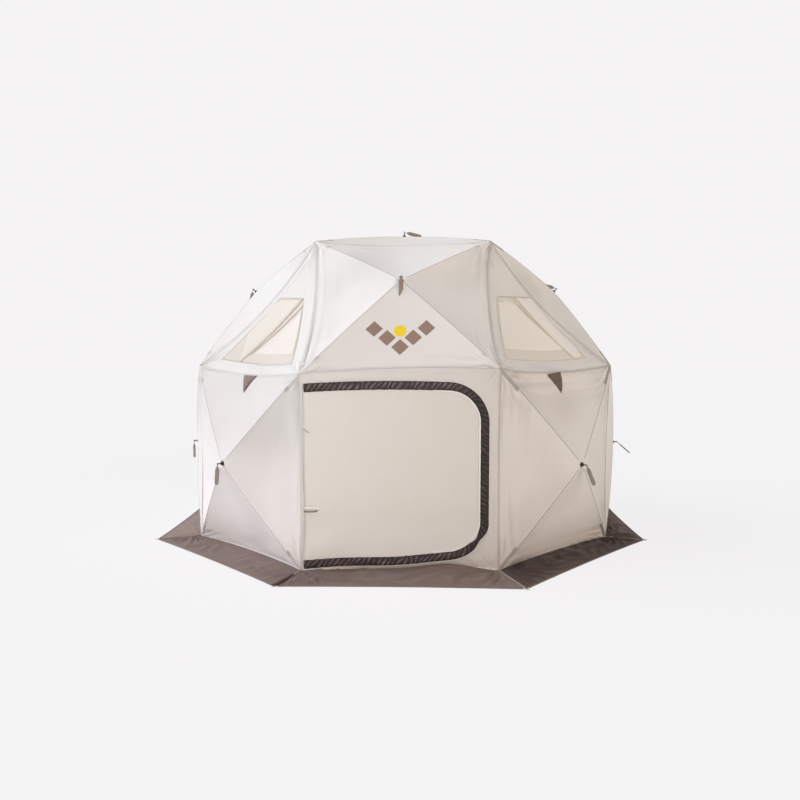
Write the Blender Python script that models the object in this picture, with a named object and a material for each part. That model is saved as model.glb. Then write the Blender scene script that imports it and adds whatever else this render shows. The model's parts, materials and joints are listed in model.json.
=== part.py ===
"""Pop-up hub shelter for ice fishing, with eight walls under four slopes, four gables and a roof.

Each square of cloth is pushed outwards by four poles that meet in a hub at its middle, and the
triangles between the slopes are drawn in by their seams. The front wall has no hub: it holds the
door. The shelter stands on the ground with its origin under its middle, its door facing -Y, and
+Z up. Lengths are in metres and angles in radians.
"""

import math

import bmesh
import bpy
from mathutils import Matrix, Vector

# The shelter's outer shape
PANEL_SIDE = 1.25
WALL_HEIGHT = 1.27
ROOF_HEIGHT = 2.18
ROOF_SIDE = 1.27
WALL_POP = 0.19
SLOPE_POP = 0.18
ROOF_POP = 0.11
WALL_COUNT = 8

# The cloth and its seams, which tension bows inwards between the corners
CLOTH = 0.002
SEAM_GAP = 0.0003
MERGE_WITHIN = 0.00003
SEAM_STEPS = 5
FLOOR_SEAM_BOW = 0.040
CORNER_SEAM_BOW = 0.015
EAVE_SEAM_BOW = 0.025
EAVE_SEAM_DROP = 0.037
GABLE_SEAM_BOW = 0.070
ROOF_SEAM_BOW = 0.035
CLOTH_DRAW = 0.012
INNER_FOCUS_HEIGHT = 1.0

# The skirt that lies on the ground round the walls
SKIRT_WIDTH = 0.29
SKIRT_BOW = 0.015
SKIRT_GAP = 0.0003
SKIRT_LEAN_SHARE = 1.5

# The windows in the two front gables, as shares of the gable's width and height
WINDOW_GAP = 0.0005
WINDOW_LOW_SHARE = 0.135
WINDOW_HIGH_SHARE = 0.52
WINDOW_LOW_SHARES = (0.10, 0.74)
WINDOW_HIGH_SHARES = (0.23, 0.60)

# The door in the front wall
DOOR_HINGE_MARGIN = 0.022
DOOR_FREE_MARGIN = 0.093
DOOR_TOP_MARGIN = 0.095
DOOR_SILL = 0.040
DOOR_RADIUS = 0.222
DOOR_ARCH = 0.018
DOOR_GAP = 0.0015
DOOR_STEPS = 5

# The gathered band that covers the door's zip
BAND_WIDTH = 0.056
BAND_RISE = 0.008
BAND_GAP = 0.0005
BAND_HINGE_GAP = 0.012
RUFFLE_PITCH = 0.060
RUFFLE_LOW_SHARE = 0.45
RUFFLE_NARROW_SHARE = 0.93
BAND_SECTION_SHARES = ((-1, 0), (1, 0), (1, 0.3), (0.5, 0.95), (0, 1), (-0.5, 0.95), (-1, 0.3))

# The small flaps under the eaves of the two walls beside the front
FLAP_WIDTH = 0.150
FLAP_LENGTH = 0.115
FLAP_TIP_WIDTH = 0.012
FLAP_TAB_LENGTH = 0.018
FLAP_BELOW_EAVE = 0.014
FLAP_ASIDE = 0.038
FLAP_GAP = 0.0003

# The poles and the ring that joins them in the hub
POLE_RADIUS = 0.0055
POLE_SIDES = 8
POLE_SETBACK = 0.045
POLE_CLEARANCE = 0.0012
PIVOT_RADIUS = 0.027
PIVOT_WIRE = 0.002
PIVOT_STEPS = 8
PIVOT_SIDES = 5
PIVOT_DEPTH = 0.014
POLE_PAST_PIVOT = 0.004

# The hub: a clamp plate and pivot body inside the cloth, a cone and an eye outside
HUB_GAP = 0.0003
HUB_PLATE_RADIUS = 0.038
HUB_PLATE = 0.0042
HUB_BODY_RADIUS = 0.034
HUB_DEPTH = 0.030
HUB_STEPS = 10
STUD_RADIUS = 0.004
STUD_HOLE_RADIUS = 0.006
CLOTH_SEAT_RADIUS = 0.040
CONE_RADIUS = 0.016
CONE_TOP_RADIUS = 0.006
CONE_HEIGHT = 0.016
CAVITY_GAP = 0.0005
SLOT_GAP = 0.0006
SLOT_START = 0.0205
EYE_HEIGHT = 0.040
EYE_WIDTH = 0.018
EYE_DEPTH = 0.012
EYE_WIRE = 0.0025
EYE_CORNER = 0.003
EYE_CORNER_STEPS = 2
EYE_SIDES = 5
CUT_OVERRUN = 0.005

# The pull straps, webbing folded over the hub's eye and sewn
STRAP_LENGTH = 0.130
STRAP_WIDTH = 0.029
STRAP_NECK_WIDTH = 0.010
STRAP_NECK_LENGTH = 0.009
STRAP_FLARE_LENGTH = 0.022
STRAP_THICKNESS = 0.0035
STRAP_EYE_GAP = 0.0004
STRAP_STEPS = 8
STRAP_TIP_STEPS = 6
STRAP_LAY_GAP = 0.0008

UP = Vector((0, 0, 1))
TURN = 2 * math.pi
WALL_TURN = TURN / WALL_COUNT
APOTHEM = PANEL_SIDE / (2 * math.tan(WALL_TURN / 2))
CORNER_RADIUS = PANEL_SIDE / (2 * math.sin(WALL_TURN / 2))
DOOR_LEFT = DOOR_HINGE_MARGIN - PANEL_SIDE / 2
DOOR_RIGHT = PANEL_SIDE / 2 - DOOR_FREE_MARGIN
DOOR_TOP = WALL_HEIGHT - DOOR_TOP_MARGIN

SIDE_NAMES = (
    "front",
    "front_right",
    "right",
    "back_right",
    "back",
    "back_left",
    "left",
    "front_left",
)
WINDOW_SIDES = (1, 7)
FLAP_SIDES = (1, 7)
UPHILL_STRAPS = ("upper_right",)


# Places on the frame


def facing(side):
    """The horizontal direction that a side looks in, counted in wall turns from the front."""
    angle = side * WALL_TURN - TURN / 4
    return Vector((math.cos(angle), math.sin(angle), 0))


def floor_corner(side):
    """The lower corner to the left of a wall, seen from outside."""
    return facing(side - 0.5) * CORNER_RADIUS


def eave_corner(side):
    return floor_corner(side) + UP * WALL_HEIGHT


def roof_corner(side):
    """The roof's corner over an odd side."""
    return facing(side) * ROOF_SIDE / math.sqrt(2) + UP * ROOF_HEIGHT


def normal_of(corners):
    return (corners[1] - corners[0]).cross(corners[-1] - corners[0]).normalized()


def seam(start, end, bow):
    """Points along a seam that is bowed by the vector at its middle."""
    shares = [step / SEAM_STEPS for step in range(SEAM_STEPS + 1)]
    return [start.lerp(end, share) + bow * (4 * share * (1 - share)) for share in shares]


def floor_bow(side):
    return facing(side) * -FLOOR_SEAM_BOW


def corner_bow(side):
    return facing(side - 0.5) * -CORNER_SEAM_BOW


def eave_bow(side):
    return facing(side) * -EAVE_SEAM_BOW - UP * EAVE_SEAM_DROP


def gable_corners(side):
    return [eave_corner(side), eave_corner(side + 1), roof_corner(side)]


def gable_bow(side):
    return normal_of(gable_corners(side)) * -GABLE_SEAM_BOW


def slope_corners(side):
    return [
        eave_corner(side),
        eave_corner(side + 1),
        roof_corner(side + 1),
        roof_corner(side - 1),
    ]


def roof_bow(side):
    return (normal_of(slope_corners(side)) + UP).normalized() * -ROOF_SEAM_BOW


def wall_seams(side):
    left, right = floor_corner(side), floor_corner(side + 1)
    left_eave, right_eave = eave_corner(side), eave_corner(side + 1)
    return [
        seam(left, right, floor_bow(side)),
        seam(right, right_eave, corner_bow(side + 1)),
        seam(right_eave, left_eave, eave_bow(side)),
        seam(left_eave, left, corner_bow(side)),
    ]


def slope_seams(side):
    left, right, top_right, top_left = slope_corners(side)
    return [
        seam(left, right, eave_bow(side)),
        seam(right, top_right, gable_bow(side + 1)),
        seam(top_right, top_left, roof_bow(side)),
        seam(top_left, left, gable_bow(side - 1)),
    ]


def gable_seams(side):
    left, right, top = gable_corners(side)
    return [
        seam(left, right, eave_bow(side)),
        seam(right, top, gable_bow(side)),
        seam(top, left, gable_bow(side)),
    ]


def roof_seams():
    sides = range(0, WALL_COUNT, 2)
    return [seam(roof_corner(s - 1), roof_corner(s + 1), roof_bow(s)) for s in sides]


# Sheets of cloth


def closed_ring(seams):
    return [point for one in seams for point in one[:-1]]


def drawn_in(ring, middle, gap):
    """Moves a ring of points towards the middle of its sheet, square to its own edges."""
    moved = []
    for index, point in enumerate(ring):
        sides = []
        for other in (ring[index - 1], ring[(index + 1) % len(ring)]):
            edge = (other - point).normalized()
            across = middle - point
            sides.append((across - edge * across.dot(edge)).normalized())
        before, after = sides
        moved.append(point + (before + after) * (gap / (1 + before.dot(after))))
    return moved


def inner_face(point):
    """The point of the cloth's inner face behind a point of its outer face.

    Every sheet uses the same rule, so the edges of neighbours stay parallel along their seam.
    """
    focus = UP * min(point.z, INNER_FOCUS_HEIGHT)
    return point + (focus - point).normalized() * CLOTH


def behind_front(point):
    return point + Vector((0, CLOTH, 0))


def skin_of_rings(rings, middle=None):
    """A sheet through rings with as many points each, closed by a fan where it has a middle."""
    skin = bmesh.new()
    loops = [[skin.verts.new(point) for point in ring] for ring in rings]
    count = len(rings[0])
    for outer, inner in zip(loops, loops[1:]):
        for here in range(count):
            there = (here + 1) % count
            skin.faces.new((outer[here], outer[there], inner[there], inner[here]))
    if middle is not None:
        centre = skin.verts.new(middle)
        for here in range(count):
            skin.faces.new((loops[-1][here], loops[-1][(here + 1) % count], centre))
    return skin


def skin_between(outline, hole):
    """A nearly flat sheet between an outline and the edge of a hole in it."""
    skin = bmesh.new()
    for ring in (outline, hole):
        verts = [skin.verts.new(point) for point in ring]
        for here, vert in enumerate(verts):
            skin.edges.new((vert, verts[here - 1]))
    bmesh.ops.triangle_fill(skin, use_beauty=True, edges=skin.edges[:], normal=-facing(0))
    return skin


def thicken(skin, partner_of):
    """Gives a sheet its inner face and closes it along its edges."""
    bmesh.ops.triangulate(skin, faces=skin.faces[:])
    outer_faces = skin.faces[:]
    rims = [edge for edge in skin.edges if edge.is_boundary]
    inner = {vert: skin.verts.new(partner_of(vert.co)) for vert in skin.verts[:]}
    for face in outer_faces:
        skin.faces.new([inner[vert] for vert in reversed(face.verts)])
    for first, second in [edge.verts for edge in rims]:
        skin.faces.new((first, second, inner[second], inner[first]))


def mesh_of(shape, name):
    """Turns a finished bmesh into a mesh with its faces pointing out."""
    bmesh.ops.recalc_face_normals(shape, faces=shape.faces[:])
    mesh = bpy.data.meshes.new(name)
    shape.to_mesh(mesh)
    shape.free()
    return mesh


def cloth_mesh(skin, name, partner_of=inner_face):
    thicken(skin, partner_of)
    return mesh_of(skin, name)


# The popped squares: where the hub sits and how its poles run


class PoppedSquare:
    """A four-sided sheet that is pushed out by a hub, with the hub's own axes.

    Its x axis runs to the right along the lower edge, seen from outside, y up the sheet and
    z outwards. Its frame carries those axes to the shelter, with the hub's place as origin.
    """

    def __init__(self, seams, pop):
        corners = [one[0] for one in seams]
        outwards = normal_of(corners)
        across = (corners[1] - corners[0]).normalized()
        middle = sum(corners, Vector()) / len(corners)
        self.apex = middle + outwards * pop
        axes = Matrix((across, outwards.cross(across), outwards)).transposed()
        self.frame = Matrix.Translation(self.apex) @ axes.to_4x4()
        self.outwards = outwards
        self.border = drawn_in(closed_ring(seams), self.apex, SEAM_GAP / 2)
        self.seat = self.flat_ring(CLOTH_SEAT_RADIUS)
        self.middle_ring = self.drawn_middle_ring()

    def flat_ring(self, radius):
        """A ring round the hub, level with it, with one point towards each border point."""
        points = []
        for point in self.border:
            towards = point - self.apex
            towards -= self.outwards * towards.dot(self.outwards)
            points.append(self.apex + towards.normalized() * radius)
        return points

    def drawn_middle_ring(self):
        """Half way out, on the poles' lines at the corners and drawn in between the poles."""
        points = []
        for index, (seat, edge) in enumerate(zip(self.seat, self.border)):
            share = index % SEAM_STEPS / SEAM_STEPS
            draw = CLOTH_DRAW * 4 * share * (1 - share)
            points.append((seat + edge) / 2 - self.outwards * draw)
        return points

    def cloth(self, name):
        rings = [
            self.border,
            self.middle_ring,
            self.seat,
            self.flat_ring(STUD_HOLE_RADIUS),
        ]
        return cloth_mesh(skin_of_rings(rings), name)

    def pole_tip(self, corner):
        """The end of a pole's axis, tucked into the corner under both sheets beside it."""
        index = corner * SEAM_STEPS
        edge, inner = self.border[index], self.middle_ring[index]
        crease = (inner - edge).normalized()
        normals = []
        for beside in (self.border[index - 1], self.border[index + 1]):
            normal = (beside - edge).cross(crease).normalized()
            normals.append(normal if normal.dot(self.outwards) < 0 else -normal)
        inwards = (normals[0] + normals[1]).normalized()
        depth = (POLE_RADIUS + POLE_CLEARANCE) / inwards.dot(normals[0])
        on_crease = edge + crease * POLE_SETBACK
        return self.frame.inverted() @ (inner_face(on_crease) + inwards * depth)

    def pole_tips(self):
        return [self.pole_tip(corner) for corner in range(4)]

    def lay_slope(self, uphill):
        """How steeply the cloth falls away from the hub, below it or above it."""
        middle_of_side = (2 if uphill else 0) * SEAM_STEPS + SEAM_STEPS // 2
        beside = middle_of_side + 1
        seat = (self.seat[middle_of_side] + self.seat[beside]) / 2
        ring = (self.middle_ring[middle_of_side] + self.middle_ring[beside]) / 2
        fall = (ring - seat).normalized()
        return math.asin(-fall.dot(self.outwards))


# Hubs, poles and straps, each in its hub's own axes


def plain_mesh(name, points, faces):
    shape = bmesh.new()
    verts = [shape.verts.new(point) for point in points]
    for face in faces:
        shape.faces.new([verts[index] for index in face])
    return mesh_of(shape, name)


def swept(name, sections, closed):
    """Joins like sections, each a ring of points, into a closed tube or a capped one."""
    shape = bmesh.new()
    loops = [[shape.verts.new(point) for point in section] for section in sections]
    pairs = list(zip(loops, loops[1:]))
    if closed:
        pairs.append((loops[-1], loops[0]))
    else:
        shape.faces.new(loops[0])
        shape.faces.new(reversed(loops[-1]))
    count = len(sections[0])
    for near, far in pairs:
        for here in range(count):
            there = (here + 1) % count
            shape.faces.new((near[here], far[here], far[there], near[there]))
    return mesh_of(shape, name)


def turned(name, profile, steps):
    """Turns a profile of (radius, height) pairs, from axis to axis or closed, round z."""
    shape = bmesh.new()
    verts = [shape.verts.new((radius, 0, height)) for radius, height in profile]
    edges = [shape.edges.new(pair) for pair in zip(verts, verts[1:])]
    if profile[0][0] > 0:
        edges.append(shape.edges.new((verts[-1], verts[0])))
    bmesh.ops.spin(
        shape, geom=verts + edges, axis=UP, cent=(0, 0, 0), angle=TURN, steps=steps, use_merge=True
    )
    bmesh.ops.remove_doubles(shape, verts=shape.verts[:], dist=MERGE_WITHIN)
    return mesh_of(shape, name)


def combined(name, base, tools, operation):
    """Joins meshes to a base mesh, or cuts them from it, with exact Booleans."""
    scene = bpy.context.scene.collection
    body = bpy.data.objects.new(name, base)
    scene.objects.link(body)
    helpers = []
    for tool in tools:
        helper = bpy.data.objects.new(name + "_tool", tool)
        scene.objects.link(helper)
        helpers.append(helper)
        modifier = body.modifiers.new(operation, "BOOLEAN")
        modifier.operation = operation
        modifier.solver = "EXACT"
        modifier.object = helper
    bpy.context.view_layer.update()
    evaluated = body.evaluated_get(bpy.context.evaluated_depsgraph_get())
    result = bpy.data.meshes.new_from_object(evaluated)
    for helper in helpers + [body]:
        bpy.data.objects.remove(helper)
    result.name = name
    return result


def box_mesh(name, low, high):
    shape = bmesh.new()
    size = high - low
    middle = Matrix.Translation((low + high) / 2)
    bmesh.ops.create_cube(shape, size=1, matrix=middle @ Matrix.Diagonal((*size, 1)))
    return mesh_of(shape, name)


def azimuth(point):
    return math.atan2(point.y, point.x)


def hub_body(name):
    """Clamp plate, pivot body, stud, cone and post, turned as one moulding."""
    plate_top = -(CLOTH + HUB_GAP)
    plate_foot = plate_top - HUB_PLATE
    profile = [
        (0, -HUB_DEPTH),
        (HUB_BODY_RADIUS, -HUB_DEPTH),
        (HUB_BODY_RADIUS, plate_foot),
        (HUB_PLATE_RADIUS, plate_foot),
        (HUB_PLATE_RADIUS, plate_top),
        (STUD_RADIUS, plate_top),
        (STUD_RADIUS, HUB_GAP),
        (CONE_RADIUS, HUB_GAP),
        (CONE_TOP_RADIUS, CONE_HEIGHT),
        (STUD_RADIUS, CONE_HEIGHT),
        (STUD_RADIUS, EYE_HEIGHT - EYE_DEPTH + EYE_WIRE),
        (0, EYE_HEIGHT - EYE_DEPTH + EYE_WIRE),
    ]
    return turned(name, profile, HUB_STEPS)


def pivot_cavity(name):
    """The space round the pivot ring, which the slots open."""
    reach = PIVOT_WIRE + CAVITY_GAP
    low, high = -PIVOT_DEPTH - reach, -PIVOT_DEPTH + reach
    near, far = PIVOT_RADIUS - reach, PIVOT_RADIUS + reach
    return turned(name, [(near, low), (far, low), (far, high), (near, high)], PIVOT_STEPS)


def pole_slot(name, angle):
    """The slot that lets a pole swing inwards about the pivot ring."""
    half = POLE_RADIUS + SLOT_GAP
    low = Vector((SLOT_START, -half, -HUB_DEPTH - CUT_OVERRUN))
    high = Vector((HUB_PLATE_RADIUS + CUT_OVERRUN, half, -(CLOTH + HUB_GAP + HUB_PLATE)))
    mesh = box_mesh(name, low, high)
    mesh.transform(Matrix.Rotation(angle, 4, "Z"))
    return mesh


def eye_wire(name):
    """A closed loop of wire on the post, with a straight bar across its top for the strap."""
    half, low = EYE_WIDTH / 2 - EYE_CORNER, EYE_HEIGHT - EYE_DEPTH + EYE_CORNER
    high = EYE_HEIGHT - EYE_CORNER
    sections = []
    for corner, (x, z) in enumerate(((half, low), (half, high), (-half, high), (-half, low))):
        for step in range(EYE_CORNER_STEPS):
            angle = (corner - 1 + step / (EYE_CORNER_STEPS - 1)) * TURN / 4
            outwards = Vector((math.cos(angle), 0, math.sin(angle)))
            middle = Vector((x, 0, z)) + outwards * EYE_CORNER
            sections.append(wire_section(middle, outwards, EYE_WIRE, EYE_SIDES))
    return swept(name, sections, closed=True)


def wire_section(middle, outwards, radius, sides):
    """A ring of points round a wire that runs square to y and to the outwards direction."""
    side = Vector((0, 1, 0))
    angles = [TURN * step / sides for step in range(sides)]
    return [
        middle + (outwards * math.cos(angle) + side * math.sin(angle)) * radius for angle in angles
    ]


def hub_mesh(name, tips):
    slots = [pole_slot("slot", azimuth(tip)) for tip in tips]
    body = combined(name, hub_body("body"), [pivot_cavity("cavity")] + slots, "DIFFERENCE")
    return combined(name, body, [eye_wire("eye")], "UNION")


def pole_rod(name, tip):
    """One pole, from just past the pivot ring to its tip."""
    start = Vector((tip.x, tip.y, 0)).normalized() * PIVOT_RADIUS - UP * PIVOT_DEPTH
    along = (tip - start).normalized()
    start -= along * POLE_PAST_PIVOT
    shape = bmesh.new()
    length = (tip - start).length
    upright = UP.rotation_difference(along).to_matrix().to_4x4()
    bmesh.ops.create_cone(
        shape,
        cap_ends=True,
        segments=POLE_SIDES,
        radius1=POLE_RADIUS,
        radius2=POLE_RADIUS,
        depth=length,
        matrix=Matrix.Translation((start + tip) / 2) @ upright,
    )
    return mesh_of(shape, name)


def pivot_ring(name):
    sections = []
    for step in range(PIVOT_STEPS):
        outwards = Matrix.Rotation(TURN * step / PIVOT_STEPS, 3, "Z") @ Vector((1, 0, 0))
        middle = outwards * PIVOT_RADIUS - UP * PIVOT_DEPTH
        angles = [TURN * turn / PIVOT_SIDES for turn in range(PIVOT_SIDES)]
        sections.append(
            [middle + (outwards * math.cos(a) + UP * math.sin(a)) * PIVOT_WIRE for a in angles]
        )
    return swept(name, sections, closed=True)


def poles_mesh(name, tips):
    rods = [pole_rod("rod", tip) for tip in tips]
    return combined(name, pivot_ring("ring"), rods, "UNION")


def strap_loop(name):
    """The fold of webbing round the eye's bar."""
    inner = EYE_WIRE + STRAP_EYE_GAP
    outer = inner + STRAP_THICKNESS
    half = STRAP_NECK_WIDTH / 2
    profile = [(inner, -half), (outer, -half), (outer, half), (inner, half)]
    mesh = turned(name, profile, STRAP_STEPS)
    mesh.transform(Matrix.Rotation(TURN / 4, 4, "Y"))
    return mesh


def strap_tail(name):
    """The strap's flat tail, from its narrow neck to its round end, hanging from the bar."""
    top = -(EYE_WIRE + STRAP_EYE_GAP + STRAP_THICKNESS / 2)
    neck, half = STRAP_NECK_WIDTH / 2, STRAP_WIDTH / 2
    flare_top = -(EYE_WIRE + STRAP_NECK_LENGTH)
    outline = [(neck, top), (neck, flare_top), (half, flare_top - STRAP_FLARE_LENGTH)]
    centre = half - STRAP_LENGTH
    for step in range(STRAP_TIP_STEPS // 2 + 1):
        angle = TURN / 2 * step / STRAP_TIP_STEPS
        outline.append((half * math.cos(angle), centre - half * math.sin(angle)))
    mirrored = [(-x, z) for x, z in reversed(outline[:-1])]
    shape = bmesh.new()
    depth = STRAP_THICKNESS / 2
    verts = [shape.verts.new((x, -depth, z)) for x, z in outline + mirrored]
    face = shape.faces.new(verts)
    moved = bmesh.ops.extrude_face_region(shape, geom=[face], use_keep_orig=True)["geom"]
    far = [item for item in moved if isinstance(item, bmesh.types.BMVert)]
    bmesh.ops.translate(shape, verts=far, vec=(0, STRAP_THICKNESS, 0))
    return mesh_of(shape, name)


def strap_mesh(name):
    return combined(name, strap_loop("loop"), [strap_tail("tail")], "UNION")


def lay_angle(slope):
    """The strap's angle from the hub's inward axis when its end lies on the cloth."""
    lift = STRAP_THICKNESS / 2 + STRAP_LAY_GAP
    reach = EYE_HEIGHT * math.cos(slope) - CLOTH_SEAT_RADIUS * math.sin(slope) - lift
    return math.acos(reach / STRAP_LENGTH) - slope


# The door, the band round it, the skirt, the windows and the flaps


def door_arch(x):
    """How far the tight cloth lifts the door's top and sill at a place across it."""
    share = (x - DOOR_LEFT) / (DOOR_RIGHT - DOOR_LEFT)
    return DOOR_ARCH * 4 * share * (1 - share)


def door_line(inset):
    """The zip's line from the lower hinge corner round the free side to the upper one."""
    left, right = DOOR_LEFT + inset, DOOR_RIGHT - inset
    low, high, radius = DOOR_SILL + inset, DOOR_TOP - inset, DOOR_RADIUS - inset
    run = right - radius - left
    shares = [step / DOOR_STEPS for step in range(DOOR_STEPS)]
    points = [(left + run * share, low) for share in shares]
    centre = right - radius
    for quarter, height in ((-1, low + radius), (0, high - radius)):
        for step in range(DOOR_STEPS + 1):
            angle = (quarter + step / DOOR_STEPS) * TURN / 4
            points.append((centre + radius * math.cos(angle), height + radius * math.sin(angle)))
    points += [(left + run * (1 - share), high) for share in shares[1:]] + [(left, high)]
    return [Vector((x, -APOTHEM, z + door_arch(x))) for x, z in points]


def front_wall(name):
    seams = wall_seams(0)
    middle = sum([one[0] for one in seams], Vector()) / len(seams)
    border = drawn_in(closed_ring(seams), middle, SEAM_GAP / 2)
    return cloth_mesh(skin_between(border, door_line(0)), name)


def door_panel(name):
    skin = bmesh.new()
    skin.faces.new([skin.verts.new(point) for point in door_line(DOOR_GAP)])
    return cloth_mesh(skin, name, behind_front)


def walked(points, count):
    """Evenly spaced places along a line of points, each with its direction."""
    lengths = [(far - near).length for near, far in zip(points, points[1:])]
    whole = sum(lengths)
    places = []
    for step in range(count + 1):
        left_over, index = whole * step / count, 0
        while index < len(lengths) - 1 and left_over > lengths[index]:
            left_over -= lengths[index]
            index += 1
        along = (points[index + 1] - points[index]).normalized()
        places.append((points[index] + along * left_over, along))
    return places


def storm_band(name):
    """A strip of gathered cloth over the zip, with a ruffle every pitch."""
    line = door_line(0)
    line[0].x += BAND_HINGE_GAP
    line[-1].x += BAND_HINGE_GAP
    whole = sum((far - near).length for near, far in zip(line, line[1:]))
    ruffles = round(whole / RUFFLE_PITCH)
    sections = []
    for index, (place, along) in enumerate(walked(line, 2 * ruffles)):
        outwards = facing(0)
        across = along.cross(outwards)
        gathered = index % 2
        half = BAND_WIDTH / 2 * (RUFFLE_NARROW_SHARE if gathered else 1)
        rise = BAND_RISE * (RUFFLE_LOW_SHARE if gathered else 1)
        sections.append(
            [
                place + across * half * x + outwards * (BAND_GAP + rise * z)
                for x, z in BAND_SECTION_SHARES
            ]
        )
    return swept(name, sections, closed=False)


def skirt(name):
    """The skirt: flat cloth on the ground from the walls' foot to its pegged corners."""
    centre = Vector()
    foot = closed_ring([wall_seams(side)[0] for side in range(WALL_COUNT)])
    near = drawn_in(foot, centre, -SKIRT_GAP)
    reach = (APOTHEM + SKIRT_WIDTH) / APOTHEM
    edges = []
    for side in range(WALL_COUNT):
        left, right = floor_corner(side) * reach, floor_corner(side + 1) * reach
        edges.append(seam(left, right, facing(side) * -SKIRT_BOW))
    far = closed_ring(edges)
    lean = CLOTH * SKIRT_LEAN_SHARE
    near_top = [point + UP * CLOTH + point.normalized() * lean for point in near]
    far_top = [point + UP * CLOTH for point in far]
    sections = [list(section) for section in zip(near, far, far_top, near_top)]
    return swept(name, sections, closed=True)


def gable_point(side, across, height):
    """A point of a gable's cloth, at shares of its width and height, on its bowed surface."""
    shares = ((1 - height) * (1 - across), (1 - height) * across, height)
    corners = gable_corners(side)
    point = sum((corner * share for corner, share in zip(corners, shares)), Vector())
    bows = (eave_bow(side), gable_bow(side), gable_bow(side))
    for index, bow in enumerate(bows):
        point += bow * (4 * shares[index] * shares[(index + 1) % 3])
    return point


def window_shares(side):
    """The window's outline as shares of the gable, one point for each of the border's."""
    low, high = WINDOW_LOW_SHARES, WINDOW_HIGH_SHARES
    if side == WINDOW_SIDES[1]:
        low, high = [tuple(1 - share for share in reversed(pair)) for pair in (low, high)]
    bottom = [
        (low[0] + (low[1] - low[0]) * step / SEAM_STEPS, WINDOW_LOW_SHARE)
        for step in range(SEAM_STEPS)
    ]
    runs = SEAM_STEPS - 1
    rise = WINDOW_HIGH_SHARE - WINDOW_LOW_SHARE
    climb = [
        (low[1] + (high[1] - low[1]) * step / runs, WINDOW_LOW_SHARE + rise * step / runs)
        for step in range(SEAM_STEPS)
    ]
    fall = [
        (high[0] + (low[0] - high[0]) * step / runs, WINDOW_HIGH_SHARE - rise * step / runs)
        for step in range(runs)
    ]
    return bottom + climb + [((high[0] + high[1]) / 2, WINDOW_HIGH_SHARE)] + fall


def border_shares():
    """The gable's own border as shares of its width and height."""
    steps = [step / SEAM_STEPS for step in range(SEAM_STEPS)]
    return [(s, 0) for s in steps] + [(1, s) for s in steps] + [(0, 1 - s) for s in steps]


def between_shares(outer, inner, part):
    """Shares of the gable's area part of the way from one outline to another."""
    rings = []
    for (x, height), (other_x, other_height) in zip(outer, inner):
        place = height + (other_height - height) * part
        wide = x * (1 - height) + (other_x * (1 - other_height) - x * (1 - height)) * part
        rings.append((wide / (1 - place), place))
    return rings


def gable_border(side):
    middle = gable_point(side, 1 / 2, 1 / 3)
    return drawn_in(closed_ring(gable_seams(side)), middle, SEAM_GAP / 2)


def ring_on_gable(side, shares):
    return [gable_point(side, across, height) for across, height in shares]


def window_gable(side, name):
    window = window_shares(side)
    half_way = between_shares(border_shares(), window, 1 / 2)
    rings = [gable_border(side), ring_on_gable(side, half_way), ring_on_gable(side, window)]
    return cloth_mesh(skin_of_rings(rings), name)


def plain_gable(side, name):
    centre = [(1 / 2, 1 / 3)] * (3 * SEAM_STEPS)
    rings = [gable_border(side)]
    for part in (1 / 3, 2 / 3):
        rings.append(ring_on_gable(side, between_shares(border_shares(), centre, part)))
    return cloth_mesh(skin_of_rings(rings, gable_point(side, *centre[0])), name)


def window_pane(side, name):
    outline = window_shares(side)
    across = sum(share for share, height in outline) / len(outline)
    height = (WINDOW_LOW_SHARE + WINDOW_HIGH_SHARE) / 2
    middle = gable_point(side, across, height)
    edge = drawn_in(ring_on_gable(side, outline), middle, WINDOW_GAP)
    half_way = between_shares(outline, [(across, height)] * len(outline), 1 / 2)
    rings = [edge, ring_on_gable(side, half_way)]
    return cloth_mesh(skin_of_rings(rings, middle), name)


def flap_frame(square):
    """The flap's axes on the wall under the eave: x along its hinge, y up it, z outwards."""
    top = 2 * SEAM_STEPS + SEAM_STEPS // 2
    right, left = square.border[top], square.border[top + 1]
    foot = (square.middle_ring[top] + square.middle_ring[top + 1]) / 2
    head = (left + right) / 2
    across = (right - left).normalized()
    upwards = (head - foot).normalized()
    outwards = across.cross(upwards)
    axes = Matrix((across, upwards, outwards)).transposed()
    place = head - upwards * FLAP_BELOW_EAVE + outwards * (FLAP_GAP + CLOTH / 2)
    return Matrix.Translation(place) @ axes.to_4x4()


def flap_mesh(name, towards_front):
    """A small triangle of doubled cloth with a tab at its tip, hinged along its top."""
    front = towards_front * (FLAP_ASIDE + FLAP_WIDTH / 2)
    back = towards_front * (FLAP_ASIDE - FLAP_WIDTH / 2)
    tip = back + towards_front * FLAP_TIP_WIDTH
    end = -(FLAP_LENGTH + FLAP_TAB_LENGTH)
    outline = [(front, 0), (back, 0), (back, end), (tip, end), (tip, -FLAP_LENGTH)]
    shape = bmesh.new()
    sheet = [[shape.verts.new((x, y, z)) for x, y in outline] for z in (-CLOTH / 2, CLOTH / 2)]
    shape.faces.new(sheet[0])
    shape.faces.new(reversed(sheet[1]))
    for here in range(len(outline)):
        shape.faces.new((sheet[0][here - 1], sheet[0][here], sheet[1][here], sheet[1][here - 1]))
    return mesh_of(shape, name)


# Materials


def linear(value):
    share = value / 255
    return share / 12.92 if share <= 0.04045 else ((share + 0.055) / 1.055) ** 2.4


def material(name, colour, roughness, metallic=0.0, alpha=1.0):
    """A plain surface, its colour given in screen values from 0 to 255."""
    made = bpy.data.materials.new(name)
    made.use_nodes = True
    shader = made.node_tree.nodes["Principled BSDF"]
    shader.inputs["Base Color"].default_value = (*[linear(value) for value in colour], 1)
    shader.inputs["Roughness"].default_value = roughness
    shader.inputs["Metallic"].default_value = metallic
    shader.inputs["Alpha"].default_value = alpha
    return made


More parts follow.
